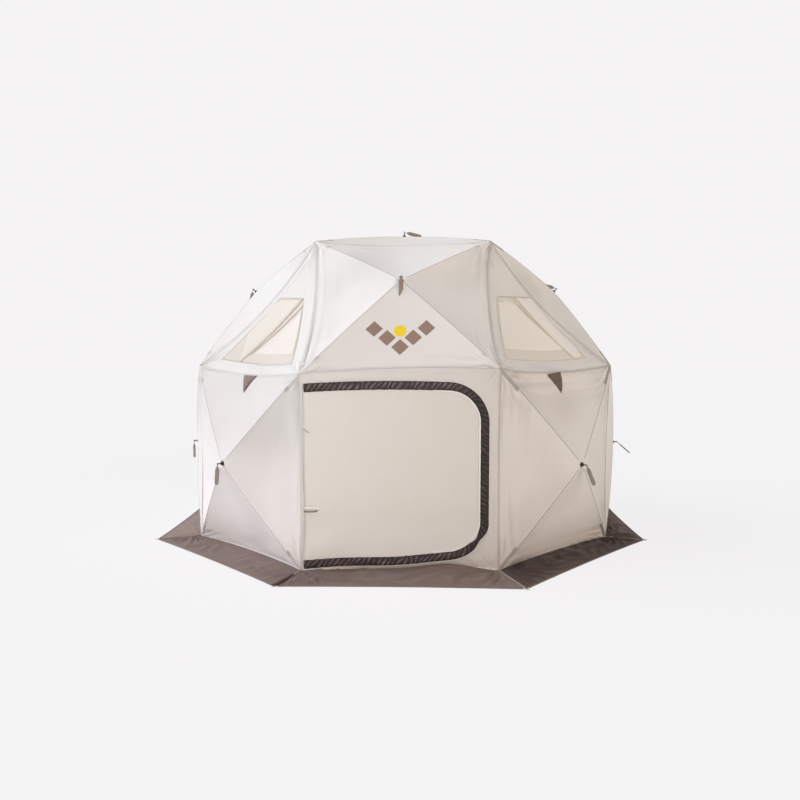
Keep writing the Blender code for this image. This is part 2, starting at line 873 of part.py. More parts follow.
def materials():
    return {
        "shell": material("cream_shell_cloth", (233, 226, 222), 0.85),
        "door": material("beige_door_cloth", (216, 203, 195), 0.85),
        "skirt": material("brown_skirt_cloth", (117, 99, 95), 0.8),
        "band": material("dark_storm_band", (59, 49, 50), 0.8),
        "pane": material("milky_window_film", (232, 222, 212), 0.3, alpha=0.9),
        "flap": material("brown_flap_cloth", (101, 84, 76), 0.8),
        "hub": material("black_hub_plastic", (38, 36, 36), 0.45),
        "pole": material("grey_fibreglass", (96, 98, 102), 0.5),
        "strap": material("brown_webbing", (140, 122, 114), 0.8),
    }


# Assembly


def place(name, mesh, surface, matrix=None):
    made = bpy.data.objects.new(name, mesh)
    if not mesh.materials:
        mesh.materials.append(surface)
    bpy.context.scene.collection.objects.link(made)
    if matrix is not None:
        made.matrix_world = matrix
    return made


def round_shading(mesh):
    """Shades a turned piece smooth, with its real edges kept sharp."""
    mesh.shade_smooth()
    mesh.set_sharp_from_angle(angle=TURN / 8)
    return mesh


def place_hub(name, square, frame, meshes, looks):
    """A hub with its poles and its strap, on a square of cloth."""
    place(f"hub_{name}", meshes["hub"], looks["hub"], frame)
    place(f"poles_{name}", meshes["poles"], looks["pole"], frame)
    uphill = name in UPHILL_STRAPS
    if name.startswith("upper") or name == "roof":
        lean = lay_angle(square.lay_slope(uphill))
        angle = lean if uphill else -lean
    else:
        angle = -TURN / 4
    to_bar = Matrix.Translation(UP * EYE_HEIGHT) @ Matrix.Rotation(angle, 4, "X")
    place(f"pull_strap_{name}", meshes["strap"], looks["strap"], frame @ to_bar)


def hub_meshes(square, strap, kind):
    tips = square.pole_tips()
    hub = round_shading(hub_mesh(f"{kind}_hub", tips))
    poles = round_shading(poles_mesh(f"{kind}_poles", tips))
    return {"hub": hub, "poles": poles, "strap": strap}


def build_walls(strap, looks):
    square = PoppedSquare(wall_seams(0), WALL_POP)
    cloth = square.cloth("wall_cloth")
    meshes = hub_meshes(square, strap, "wall")
    for side in range(1, WALL_COUNT):
        turn = Matrix.Rotation(side * WALL_TURN, 4, "Z")
        place(f"wall_{SIDE_NAMES[side]}", cloth, looks["shell"], turn)
        place_hub(SIDE_NAMES[side], square, turn @ square.frame, meshes, looks)
    for side in FLAP_SIDES:
        turn = Matrix.Rotation(side * WALL_TURN, 4, "Z")
        towards_front = 1 if side > WALL_COUNT / 2 else -1
        mesh = flap_mesh(f"{SIDE_NAMES[side]}_flap", towards_front)
        place(f"eave_flap_{SIDE_NAMES[side]}", mesh, looks["flap"], turn @ flap_frame(square))


def build_slopes(strap, looks):
    square = PoppedSquare(slope_seams(0), SLOPE_POP)
    cloth = square.cloth("slope_cloth")
    meshes = hub_meshes(square, strap, "slope")
    for side in range(0, WALL_COUNT, 2):
        turn = Matrix.Rotation(side * WALL_TURN, 4, "Z")
        name = f"upper_{SIDE_NAMES[side]}"
        place(name, cloth, looks["shell"], turn)
        place_hub(name, square, turn @ square.frame, meshes, looks)


def build_roof(strap, looks):
    square = PoppedSquare(roof_seams(), ROOF_POP)
    place("roof", square.cloth("roof_cloth"), looks["shell"])
    frame = square.frame @ Matrix.Rotation(TURN / 4, 4, "Z")
    place_hub("roof", square, frame, hub_meshes(square, strap, "roof"), looks)


def build_gables(looks):
    for side in range(1, WALL_COUNT, 2):
        name = SIDE_NAMES[side]
        if side in WINDOW_SIDES:
            place(f"gable_{name}", window_gable(side, f"gable_{name}"), looks["shell"])
            place(f"window_{name}", window_pane(side, f"window_{name}"), looks["pane"])
        else:
            place(f"gable_{name}", plain_gable(side, f"gable_{name}"), looks["shell"])


def build_front(looks):
    """The front wall, and the door with its band under an empty on the hinge line."""
    place("door_wall", front_wall("door_wall"), looks["shell"])
    hinge = bpy.data.objects.new("door_hinge_line", None)
    bpy.context.scene.collection.objects.link(hinge)
    hinge.location = (DOOR_LEFT, -APOTHEM, 0)
    back = Matrix.Translation(-hinge.location)
    for name, mesh, look in (
        ("door_panel", door_panel("door_panel"), "door"),
        ("storm_band", storm_band("storm_band"), "band"),
    ):
        mesh.transform(back)
        place(name, mesh, looks[look]).parent = hinge


def main():
    for leftover in list(bpy.data.objects):
        bpy.data.objects.remove(leftover)
    looks = materials()
    strap = round_shading(strap_mesh("pull_strap"))
    build_walls(strap, looks)
    build_slopes(strap, looks)
    build_roof(strap, looks)
    build_gables(looks)
    build_front(looks)
    place("skirt", skirt("skirt"), looks["skirt"])


main()
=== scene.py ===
"""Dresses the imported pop-up hub shelter: its cloth, seams, hubs, straps, door, windows and skirt.

Lengths are in metres and angles in radians, in the shelter's own frame: its door faces -Y.
"""

import json
import math

import bmesh
import bpy
from mathutils import Euler, Matrix, Vector, noise


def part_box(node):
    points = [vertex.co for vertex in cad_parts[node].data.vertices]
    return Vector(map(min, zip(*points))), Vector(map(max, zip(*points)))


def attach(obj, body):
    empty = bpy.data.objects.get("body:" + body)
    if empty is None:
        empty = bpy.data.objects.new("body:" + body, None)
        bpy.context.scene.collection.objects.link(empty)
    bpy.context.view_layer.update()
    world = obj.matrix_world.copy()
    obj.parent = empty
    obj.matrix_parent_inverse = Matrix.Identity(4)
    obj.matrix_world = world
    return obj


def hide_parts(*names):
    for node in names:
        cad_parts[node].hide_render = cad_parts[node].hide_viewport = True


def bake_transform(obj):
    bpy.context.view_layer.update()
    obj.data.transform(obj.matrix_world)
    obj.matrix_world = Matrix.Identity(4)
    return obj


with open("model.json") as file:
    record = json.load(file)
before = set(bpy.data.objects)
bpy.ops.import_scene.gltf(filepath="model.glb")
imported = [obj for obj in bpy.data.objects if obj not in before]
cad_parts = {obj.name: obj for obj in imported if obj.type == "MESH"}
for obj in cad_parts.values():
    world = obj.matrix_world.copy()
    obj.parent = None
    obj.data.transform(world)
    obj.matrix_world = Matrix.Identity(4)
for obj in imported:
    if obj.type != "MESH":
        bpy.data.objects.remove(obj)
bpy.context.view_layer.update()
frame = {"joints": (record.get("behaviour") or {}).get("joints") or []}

# The cloth between the poles: seven walls, four slopes and the roof, each four triangles of insulated
# polyester sewn along the poles' lines and clamped in a hub at the middle. Its seams bow inwards
# between the corners, and it folds where the poles' ends stretch it.
UP = Vector((0, 0, 1))
TURN = 2 * math.pi
SIDES = ("front", "front_right", "right", "back_right", "back", "back_left", "left", "front_left")
WALL_TURN = TURN / len(SIDES)
PANEL_SIDE = 1.25
WALL_HEIGHT = 1.27
ROOF_HEIGHT = 2.18
ROOF_SIDE = 1.27
WALL_POP = 0.19
SLOPE_POP = 0.18
ROOF_POP = 0.11
APOTHEM = PANEL_SIDE / (2 * math.tan(WALL_TURN / 2))
CORNER_RADIUS = PANEL_SIDE / (2 * math.sin(WALL_TURN / 2))
FLOOR_SEAM_BOW = 0.040
CORNER_SEAM_BOW = 0.015
EAVE_SEAM_BOW = 0.025
EAVE_SEAM_DROP = 0.037
FRONT_EAVE_RISE = 0.020
GABLE_SEAM_BOW = 0.070
ROOF_SEAM_BOW = 0.035
CLOTH = 0.002
CLOTH_SEAT = 0.040
CLOTH_DRAW = 0.011
POLE_BOW = 0.008
NET = 52
FINE_BORDER = 0.045
FINE_CORNER = 0.24
FINEST_CORNER = 0.165
FAN_HEIGHT = 0.0105
FAN_REACH = 0.120
FAN_START = 0.030
FAN_CRESTS = 3.7
FAN_END_SHARE = 5
FAN_WAVER = 1.3
FAN_WAVER_RATES = (3, 6)
FAN_STRENGTH = (0.65, 0.7, 5)
DRAG_HEIGHT = 0.0080
DRAG_REACH = 0.085
DRAG_LENGTH = 0.40
DRAG_WIDTH = 0.030
PUCKER_HEIGHT = 0.0022
PUCKER_REACH = 0.028
PUCKER_PITCH = 0.024
PUCKER_RATE = 9
BILLOW_HEIGHT = 0.0045
BILLOW_SIZE = 0.42
HUB_FAN_HEIGHT = 0.0016
HUB_FAN_REACH = 0.10
HUB_FAN_CRESTS = 17
HUB_FAN_RATES = (9, 5)
POLE_HOLD = 0.015
POCKET_KEEP = 0.013
POCKET_END = 0.165
POCKET_FADE = 0.020
SEAM_HOLD = 0.008
SHELL_COLOUR = (236, 230, 227)
# Lit and shaded copies of the shell's colour, panel by panel: the right-hand panels are painted lighter, as
# light, and the front right one darker, most towards the front, as painted shade.
PANEL_LIGHT_AND_SHADE_COLOURS = {
    "right": ((243, 237, 233), None),
    "upper_right": ((243, 236, 231), None),
    "front_right": ((206, 191, 183), (237, 229, 224)),
}
# The left walls' colours: painted lighter at the foot, as light, and darker towards the top, as shade.
FOOT_LIGHT_WALL_COLOURS = {
    "front_left": ((248, 238, 236), (229, 222, 219)),
    "left": ((242, 234, 230), (225, 217, 213)),
}
FOOT_LIGHT_FROM = 0.25
FOOT_LIGHT_REACH = 0.85
EMBLEM_CLOTH_COLOUR = (241, 235, 233)
# How far the painted light-and-shade fades run across the tent, from left to right.
LIGHT_AND_SHADE_REACH = 2.4
VALLEY_SHADE_SHARE = 0.9
PAINTED_VALLEY_SHADE = 0.80
STITCH_INSET = 0.009
STITCH_WIDTH = 0.0009
STITCH_PITCH = 0.0042
STITCH_SHARE = 0.7
STITCH_DEPTH_SHARE = 1.5
HEM_HEIGHT_BUMP = 0.0006
HEM_TINT_SHARE = 0.35
STITCH_TINT_SHARE = 0.5
HEM_TINT = 0.9
CLOTH_MOTTLE = (0.975, 1.0)
CREASE_SIZE = 0.03
MOTTLE_SIZE = 0.16
THREAD_DEPTH_SHARE = 0.012
MOTTLE_ROUGHNESS = 0.06
EMBLEM_PLACE = "upper_front"
EMBLEM_PITCH = 0.083
EMBLEM_FOOT = -0.485
EMBLEM_STEP = 0.066
EMBLEM_HALF = 0.056
EMBLEM_DISC = -0.372
EMBLEM_DISC_RADIUS = 0.041
EMBLEM_BROWN = (158, 130, 119)
EMBLEM_YELLOW = (253, 220, 62)


def facing(side):
    """The horizontal direction that a side looks in, counted in wall turns from the front."""
    angle = side * WALL_TURN - TURN / 4
    return Vector((math.cos(angle), math.sin(angle), 0))


def floor_corner(side):
    """The lower corner to the left of a wall, seen from outside."""
    return facing(side - 0.5) * CORNER_RADIUS


def eave_corner(side):
    """The upper corner to the left of a wall, seen from outside."""
    return floor_corner(side) + UP * WALL_HEIGHT


def roof_corner(side):
    """The roof's corner over an odd side."""
    return facing(side) * ROOF_SIDE / math.sqrt(2) + UP * ROOF_HEIGHT


def normal_of(corners):
    """The direction that a flat sheet looks in, its corners anticlockwise from outside."""
    return (corners[1] - corners[0]).cross(corners[-1] - corners[0]).normalized()


def floor_bow(side):
    """The bow of a wall's lower seam, at its middle."""
    return facing(side) * -FLOOR_SEAM_BOW


def corner_bow(side):
    """The bow of a wall's left seam."""
    return facing(side - 0.5) * -CORNER_SEAM_BOW


def eave_bow(side):
    """The bow of a wall's upper seam."""
    rise = FRONT_EAVE_RISE if side == 0 else -EAVE_SEAM_DROP
    return facing(side) * -EAVE_SEAM_BOW + UP * rise


SLIPS = (
    (eave_corner(0), Vector((-0.008, 0, -0.020))),
    (eave_corner(1), Vector((0, 0, 0.013))),
    (eave_corner(2), Vector((0.012, 0, 0.008))),
    (floor_corner(0), Vector((0, -0.030, 0))),
    (floor_corner(7), Vector((0, -0.030, 0))),
)


def slipped(corner):
    """Where a corner of the pitched tent lies, a little out of the true."""
    for true, shift in SLIPS:
        if (corner - true).length < CLOTH:
            return corner + shift
    return corner.copy()


def gable_corners(side):
    """A gable's corners: the eave's two and the roof's one."""
    return [eave_corner(side), eave_corner(side + 1), roof_corner(side)]


def gable_bow(side):
    """The bow of a gable's two slanted seams."""
    return normal_of(gable_corners(side)) * -GABLE_SEAM_BOW


def slope_corners(side):
    """A slope's corners, anticlockwise from the eave's left one."""
    above = [roof_corner(side + 1), roof_corner(side - 1)]
    return [eave_corner(side), eave_corner(side + 1)] + above


def roof_bow(side):
    """The bow of the roof's seam over a side."""
    return (normal_of(slope_corners(side)) + UP).normalized() * -ROOF_SEAM_BOW


def on_seam(start, end, bow, share):
    """A point of a seam that is bowed by a vector at its middle."""
    return start.lerp(end, share) + bow * (4 * share * (1 - share))


def ease(value):
    """Rises smoothly from 0 to 1 as the value does."""
    share = min(max(value, 0), 1)
    return share * share * (3 - 2 * share)


def crest(value):
    """A wave with a sharp crest at each whole number, as tight cloth folds."""
    return 1 - 2 * abs(math.sin(math.pi * value))


def uneven(x, y, seed):
    """Smooth noise from -1 to 1, the same at each run."""
    return noise.noise(Vector((x, y, seed)))


class Cloth:
    """A sewn sheet: its flat outline, seen from outside, and the folds that its seams give it."""

    def __init__(self, corners, outwards, seed):
        self.corners = corners
        self.outwards = outwards
        self.seed = seed

    def beside_seam(self, spot):
        """How far along the nearest seam a flat place is, and how far in from it."""
        nearest = None
        for start, end in zip(self.corners, self.corners[1:] + self.corners[:1]):
            along = (end - start).normalized()
            arm = spot - start
            inset = along.cross(arm)
            if nearest is None or inset < nearest[1]:
                nearest = (along.dot(arm), inset)
        return nearest

    def fan(self, spot, corner):
        """Folds that spread from a corner."""
        arm = spot - corner
        far = arm.length
        if far > FAN_END_SHARE * FAN_REACH or far == 0:
            return 0
        turn = math.atan2(arm.y, arm.x)
        waver = FAN_WAVER * uneven(turn * FAN_WAVER_RATES[0], far * FAN_WAVER_RATES[1], self.seed)
        strength = math.exp(-far / FAN_REACH) * (1 - math.exp(-((far / FAN_START) ** 2)))
        least, more, rate = FAN_STRENGTH
        strong = least + more * uneven(turn * rate, 0, self.seed + 3)
        return FAN_HEIGHT * strength * strong * crest(turn * FAN_CRESTS + waver)

    def folds(self, spot):
        """How far the sheet's folds lift a flat place."""
        run, inset = self.beside_seam(spot)
        lift = sum(self.fan(spot, corner) for corner in self.corners)
        drag = uneven(run / DRAG_LENGTH, inset / DRAG_WIDTH, self.seed + 11)
        lift += DRAG_HEIGHT * drag * math.exp(-inset / DRAG_REACH)
        pucker = uneven(run / PUCKER_PITCH, inset * PUCKER_RATE, self.seed + 23)
        lift += PUCKER_HEIGHT * pucker * math.exp(-inset / PUCKER_REACH)
        lift += BILLOW_HEIGHT * uneven(spot.x / BILLOW_SIZE, spot.y / BILLOW_SIZE, self.seed + 37)
        return lift * ease(inset / SEAM_HOLD)

    def near_corner(self, spot, reach):
        return min((spot - corner).length for corner in self.corners) < reach

    def lay(self, shape):
        """Lays a flat shape on the sheet, and keeps its flat places, hems and folds as UVs."""
        flat = shape.loops.layers.uv.new("cloth")
        hem = shape.loops.layers.uv.new("hem")
        folded = shape.loops.layers.uv.new("folds")
        for vert in shape.verts:
            spot = vert.co.to_2d()
            lift = self.folds(spot)
            mapped(vert, (flat, spot), (hem, self.beside_seam(spot)), (folded, (lift / FAN_HEIGHT, 0)))
            vert.co = self.place(spot) + self.outwards * lift


def mapped(vert, *places):
    """Gives a point its place in each UV layer."""
    for loop in vert.link_loops:
        for layer, place in places:
            loop[layer].uv = place


def refine(shape, chosen):
    """Halves the edges whose two ends are both chosen."""
    edges = [edge for edge in shape.edges if all(chosen(v.co.to_2d()) for v in edge.verts)]
    bmesh.ops.subdivide_edges(shape, edges=edges, cuts=1, use_grid_fill=True)


def netted(cloth, shape, cuts):
    """Cuts a flat shape into a fine net, finer along the seams and finest at the corners."""
    bmesh.ops.subdivide_edges(shape, edges=shape.edges[:], cuts=cuts - 1, use_grid_fill=True)
    refine(
        shape,
        lambda spot: cloth.beside_seam(spot)[1] < FINE_BORDER or cloth.near_corner(spot, FINE_CORNER),
    )
    refine(shape, lambda spot: cloth.near_corner(spot, FINEST_CORNER))
    bmesh.ops.triangulate(shape, faces=[face for face in shape.faces if len(face.verts) > 3])


class PoppedSquare(Cloth):
    """A square sheet that a hub pushes out along its own z axis, with x to the right."""

    def __init__(self, name, corners, bows, pop, seed):
        self.name = name
        self.points = [slipped(corner) for corner in corners]
        self.bows = bows
        outwards = normal_of(corners)
        self.foot = sum(corners, Vector()) / len(corners)
        self.apex = self.foot + outwards * pop
        across = (corners[1] - corners[0]).normalized()
        axes = Matrix((across, outwards.cross(across), outwards)).transposed()
        self.frame = Matrix.Translation(self.apex) @ axes.to_4x4()
        to_flat = self.frame.inverted()
        super().__init__([(to_flat @ corner).to_2d() for corner in corners], outwards, seed)

    def sector(self, spot):
        """The triangle that holds a flat place, with its shares along the triangle's two poles."""
        best = None
        for index, one in enumerate(self.corners):
            other = self.corners[(index + 1) % 4]
            area = one.cross(other)
            first, second = spot.cross(other) / area, one.cross(spot) / area
            if best is None or min(first, second) > min(best[1:]):
                best = (index, first, second)
        return best

    def place(self, spot):
        index, first, second = self.sector(spot)
        reach = max(first + second, 0)
        if reach == 0:
            return self.apex.copy()
        along = min(max(second / reach, 0), 1)
        return self.out_from_hub(index, reach, along)

    def out_from_hub(self, index, reach, along):
        """The cloth at a share of the way from the hub to a place along a seam."""
        edge = on_seam(self.points[index], self.points[(index + 1) % 4], self.bows[index], along)
        towards = edge - self.apex
        level = towards - self.outwards * towards.dot(self.outwards)
        out, span = reach * level.length, level.length
        if out <= CLOTH_SEAT:
            return self.apex + level * (out / span)
        seat = self.apex + level * (CLOTH_SEAT / span)
        share = (out - CLOTH_SEAT) / (span - CLOTH_SEAT)
        draw = CLOTH_DRAW * 16 * along * (1 - along) * share * (1 - share)
        bow = POLE_BOW * 4 * share * (1 - share)
        return seat.lerp(edge, share) + self.outwards * (bow - draw)

    def folds(self, spot):
        pole = min(abs(corner.normalized().cross(spot)) for corner in self.corners)
        out = spot.length
        turn = math.atan2(spot.y, spot.x) / TURN
        waver = uneven(turn * HUB_FAN_RATES[0], out * HUB_FAN_RATES[1], self.seed + 51)
        spokes = crest(turn * HUB_FAN_CRESTS + waver) * math.exp(-out / HUB_FAN_REACH)
        lift = super().folds(spot) + HUB_FAN_HEIGHT * spokes
        far = min((spot - corner).length for corner in self.corners)
        keep = POCKET_KEEP * ease((POCKET_END - far) / POCKET_FADE)
        return lift * ease((pole - keep) / POLE_HOLD) * ease(out / CLOTH_SEAT - 1)

    def cloth_shape(self):
        shape = bmesh.new()
        middle = shape.verts.new((0, 0, 0))
        ring = [shape.verts.new((*corner, 0)) for corner in self.corners]
        for here, vert in enumerate(ring):
            shape.faces.new((vert, ring[(here + 1) % 4], middle))
        netted(self, shape, NET)
        hub = min(shape.verts, key=lambda vert: vert.co.length)
        bmesh.ops.delete(shape, geom=[hub], context="VERTS")
        for edge in shape.edges:
            ends = [vert.co.to_2d() for vert in edge.verts]
            for corner in self.corners:
                way = corner.normalized()
                if all(abs(way.cross(end)) < STITCH_WIDTH and way.dot(end) > 0 for end in ends):
                    edge.smooth = False
        self.lay(shape)
        return shape


class Value:
    """A number that varies over a surface. Sums with it add their nodes."""

    def __init__(self, finish, socket):
        self.finish = finish
        self.socket = socket

    def math(self, operation, *others):
        return self.finish.node("Math", {"operation": operation}, dict(enumerate((self, *others))))

    def __add__(self, other):
        return self.math("ADD", other)

    def __mul__(self, other):
        return self.math("MULTIPLY", other)

    def __sub__(self, other):
        return self.math("SUBTRACT", other)

    def __rsub__(self, other):
        return self.finish.node("Math", {"operation": "SUBTRACT"}, {0: other, 1: self})

    def __truediv__(self, other):
        return self.math("DIVIDE", other)

    def __lt__(self, other):
        return self.math("LESS_THAN", other)

    def __gt__(self, other):
        return self.math("GREATER_THAN", other)

    def __abs__(self):
        return self.math("ABSOLUTE")

    __radd__ = __add__
    __rmul__ = __mul__

    def sine(self):
        return self.math("SINE")

    def fraction(self):
        return self.math("FRACT")

    def either(self, other):
        return self.math("MAXIMUM", other)

    def within(self, middle, half):
        """1 within half a width of a middle, or else 0."""
        return abs(self - middle) < half


def linear(colour):
    """A colour given in screen values from 0 to 255, as light."""
    shares = [value / 255 for value in colour]
    lit = [s / 12.92 if s <= 0.04045 else ((s + 0.055) / 1.055) ** 2.4 for s in shares]
    return (*lit, 1)


class Nodes:
    """A node tree, to which its node method adds every node."""

    def __init__(self, tree):
        self.tree = tree

    def feed(self, node, inputs):
        for key, value in inputs.items():
            if isinstance(value, Value):
                self.tree.links.new(value.socket, node.inputs[key])
            else:
                node.inputs[key].default_value = value

    def node(self, kind, settings, inputs, output=0):
        made = self.tree.nodes.new("ShaderNode" + kind)
        for key, value in settings.items():
            setattr(made, key, value)
        self.feed(made, inputs)
        return Value(self, made.outputs[output])


class Finish(Nodes):
    """A material on one shader."""

    def __init__(self, name, colour, roughness, **constants):
        self.material = bpy.data.materials.new(name)
        self.material.use_nodes = True
        super().__init__(self.material.node_tree)
        self.shader = self.tree.nodes["Principled BSDF"]
        self.shade(Base_Color=linear(colour), Roughness=roughness, **constants)

    def shade(self, **inputs):
        self.feed(self.shader, {key.replace("_", " "): value for key, value in inputs.items()})

    def flat_place(self, name="cloth"):
        return self.node("UVMap", {"uv_map": name}, {})

    def solid_place(self):
        return self.node("TexCoord", {}, {}, "Object")

    def parts(self, place):
        return [self.node("SeparateXYZ", {}, {0: place}, axis) for axis in range(3)]

    def speckle(self, place, size, detail=3.0, roughness=0.55):
        """Uneven from 0 to 1 over spots of about a size."""
        inputs = {"Vector": place, "Scale": 1 / size, "Detail": detail, "Roughness": roughness}
        return self.node("TexNoise", {}, inputs)

    def stretched(self, place, scales):
        return self.node("Mapping", {}, {"Vector": place, "Scale": scales})

    def mix(self, share, colour, other):
        settings = {"data_type": "RGBA"}
        return self.node("Mix", settings, {0: share, 6: colour, 7: other}, 2)

    def mottled(self, share, colour, low, high, other=None, fade=None):
        """A colour a little darker in places. It may turn into another one from left to right, as painted
        light and shade.
        """
        base = self.mix(share, tinted(colour, low), tinted(colour, high))
        if other is None:
            return base
        aside = self.mix(share, tinted(other, low), tinted(other, high))
        if fade is None:
            fade = self.parts(self.solid_place())[0] * (1 / LIGHT_AND_SHADE_REACH) + 0.5
        return self.mix(fade, base, aside)

    def bump(self, height, distance, before=None):
        inputs = {"Height": height, "Distance": distance, "Strength": 1.0}
        if before:
            inputs["Normal"] = before
        return self.node("Bump", {}, inputs)


def tinted(colour, share):
    return linear([value * share for value in colour])


def woven(name, colour, other=None, pitch=0.0011, crinkle=0.0005, roughness=0.8, sheen=0.12, fade=None):
    """Woven polyester: threads, a fine crinkle, faint mottling and a row of stitches at each hem. Its folds'
    valleys are painted darker, as shade, and it may fade into another colour from left to right, as painted
    light and shade.
    """
    cloth = Finish(name, colour, roughness, Sheen_Weight=sheen, Specular_IOR_Level=0.25)
    place = cloth.flat_place()
    x, y, _ = cloth.parts(place)
    threads = (x * (TURN / pitch)).sine() * (y * (TURN / pitch)).sine()
    creases = cloth.speckle(place, CREASE_SIZE, 4.0)
    mottle = cloth.speckle(place, MOTTLE_SIZE, 4.0, 0.6)
    run, inset, _ = cloth.parts(cloth.flat_place("hem"))
    stitch = inset.within(STITCH_INSET, STITCH_WIDTH) * ((run / STITCH_PITCH).fraction() < STITCH_SHARE)
    hem = inset.within(STITCH_INSET / 2, STITCH_INSET / 2)
    base = cloth.mottled(mottle, colour, *CLOTH_MOTTLE, other, fade(cloth) if fade else None)
    lift = cloth.parts(cloth.flat_place("folds"))[0]
    # Painted shade: the valleys of the folds are drawn darker.
    base = cloth.mix(lift * -VALLEY_SHADE_SHARE, base, tinted(colour, PAINTED_VALLEY_SHADE))
    base = cloth.mix(hem * HEM_TINT_SHARE + stitch * STITCH_TINT_SHARE, base, tinted(colour, HEM_TINT))
    relief = cloth.bump(threads, pitch * THREAD_DEPTH_SHARE)
    relief = cloth.bump(creases, crinkle, relief)
    relief = cloth.bump(hem - stitch * STITCH_DEPTH_SHARE, HEM_HEIGHT_BUMP, relief)
    cloth.shade(Base_Color=base, Normal=relief, Roughness=roughness + mottle * MOTTLE_ROUGHNESS)
    return cloth


def printed(name, colour):
    """The shell's cloth with the emblem screen-printed on it: five diamonds and a disc."""
    cloth = woven(name, colour)
    x, y, _ = cloth.parts(cloth.flat_place())
    diamonds = None
    for step in range(-2, 3):
        aside = abs(x - EMBLEM_PITCH * step)
        level = EMBLEM_FOOT + EMBLEM_STEP * abs(step)
        diamond = aside + abs(y - level) < EMBLEM_HALF
        diamonds = diamonds.either(diamond) if diamonds else diamond
    height = y - EMBLEM_DISC
    disc = x * x + height * height < EMBLEM_DISC_RADIUS**2
    before = cloth.shader.inputs["Base Color"].links[0].from_socket
    base = cloth.mix(diamonds, Value(cloth, before), linear(EMBLEM_BROWN))
    cloth.shade(Base_Color=cloth.mix(disc, base, linear(EMBLEM_YELLOW)))
    return cloth


def by_height(cloth):
    """How far up the wall's painted fade a place is: lighter at the foot, as light, and darker towards the
    top, as shade.
    """
    z = cloth.parts(cloth.solid_place())[2]
    return (z - FOOT_LIGHT_FROM) * (1 / FOOT_LIGHT_REACH)


def in_place_of(node):
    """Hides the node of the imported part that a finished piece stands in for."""
    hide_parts(node)


def piece(name, shape, finish, wall=0.0):
    """Makes a finished object of a shape. A wall gives a sheet its thickness, inwards."""
    mesh = bpy.data.meshes.new(name)
    shape.to_mesh(mesh)
    shape.free()
    mesh.materials.append(finish.material)
    for polygon in mesh.polygons:
        polygon.use_smooth = True
    made = bpy.data.objects.new(name, mesh)
    bpy.context.scene.collection.objects.link(made)
    if wall:
        thick = made.modifiers.new("wall", "SOLIDIFY")
        thick.thickness = wall
        thick.offset = -1
        thick.use_even_offset = True
    return made


def wall_square(side, seed):
    left, right = floor_corner(side), floor_corner(side + 1)
    corners = [left, right, eave_corner(side + 1), eave_corner(side)]
    bows = [floor_bow(side), corner_bow(side + 1), eave_bow(side), corner_bow(side)]
    return PoppedSquare(SIDES[side], corners, bows, WALL_POP, seed)


def slope_square(side, seed):
    bows = [eave_bow(side), gable_bow(side + 1), roof_bow(side), gable_bow(side - 1)]
    return PoppedSquare("upper_" + SIDES[side], slope_corners(side), bows, SLOPE_POP, seed)


def roof_square(seed):
    sides = range(0, len(SIDES), 2)
    corners = [roof_corner(side - 1) for side in sides]
    bows = [roof_bow(side) for side in sides]
    return PoppedSquare("roof", corners, bows, ROOF_POP, seed)


squares = [wall_square(side, 7.3 * side) for side in range(1, len(SIDES))]
squares += [slope_square(side, 60 + 5.1 * side) for side in range(0, len(SIDES), 2)]
squares.append(roof_square(131.7))
shell_cloth = woven("cream_shell_cloth", SHELL_COLOUR)
painted_light_and_printed_cloths = {name: woven(f"cream_{name}_cloth", *colours) for name, colours in PANEL_LIGHT_AND_SHADE_COLOURS.items()}
for name, colours in FOOT_LIGHT_WALL_COLOURS.items():
    painted_light_and_printed_cloths[name] = woven(f"cream_{name}_cloth", *colours, fade=by_height)
painted_light_and_printed_cloths[EMBLEM_PLACE] = printed("cream_cloth_with_emblem", EMBLEM_CLOTH_COLOUR)
for square in squares:
    is_wall = square.name in SIDES
    node = "wall_" + square.name if is_wall else square.name
    made = piece(node + "_cloth", square.cloth_shape(), painted_light_and_printed_cloths.get(square.name, shell_cloth), CLOTH)
    in_place_of(node)
    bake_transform(made)

# The seams along the poles: grey piping sewn between the four triangles, and at each corner the
# pocket of grey webbing that holds the pole's end, bar-tacked across its inner end. Their grey deepens
# from left to right, as painted shade; the upper front's pockets and tacks are a paler copy, painted light.
PIPING_WIDTH = 0.0040
PIPING_HEIGHT = 0.0026
PIPING_STEPS = 44
PIPING_START = 0.046
POCKET_LENGTH = 0.138
LONG_POCKETS = {"front_right": 0.166}
PALE_POCKETS = "upper_front"
POCKET_START = 0.006
POCKET_WIDTH = 0.030
POCKET_HEIGHT = 0.0022
POCKET_STEPS = 22
TACK_LENGTH = 0.032
TACK_HEIGHT = 0.0006
PIPING_COLOUR = (206, 201, 198)
SHADED_PIPING_COLOUR = (158, 150, 143)
POCKET_COLOUR = (228, 222, 219)
SHADED_POCKET_COLOUR = (164, 156, 148)
PALE_POCKET_COLOUR = (236, 230, 226)
PALE_TACK_COLOUR = (216, 210, 206)
TACK_COLOUR = (200, 196, 193)
SHADED_TACK_COLOUR = (166, 158, 150)
POCKET_ACROSS_SHARES = (-0.5, -0.42, -0.2, -0.04, 0.04, 0.2, 0.42, 0.5)
POCKET_RISE_SHARES = (0.2, 0.9, 1.0, 1.1, 1.1, 1.0, 0.9, 0.2)
WEBBING_PITCH = 0.0016
WEBBING_MOTTLE = (0.93, 1.04)
WEBBING_MOTTLE_SIZE = 0.02
WEBBING_DEPTH_SHARE = 0.06
TACK_PITCH = 0.0011
MERGE_WITHIN = 0.00002


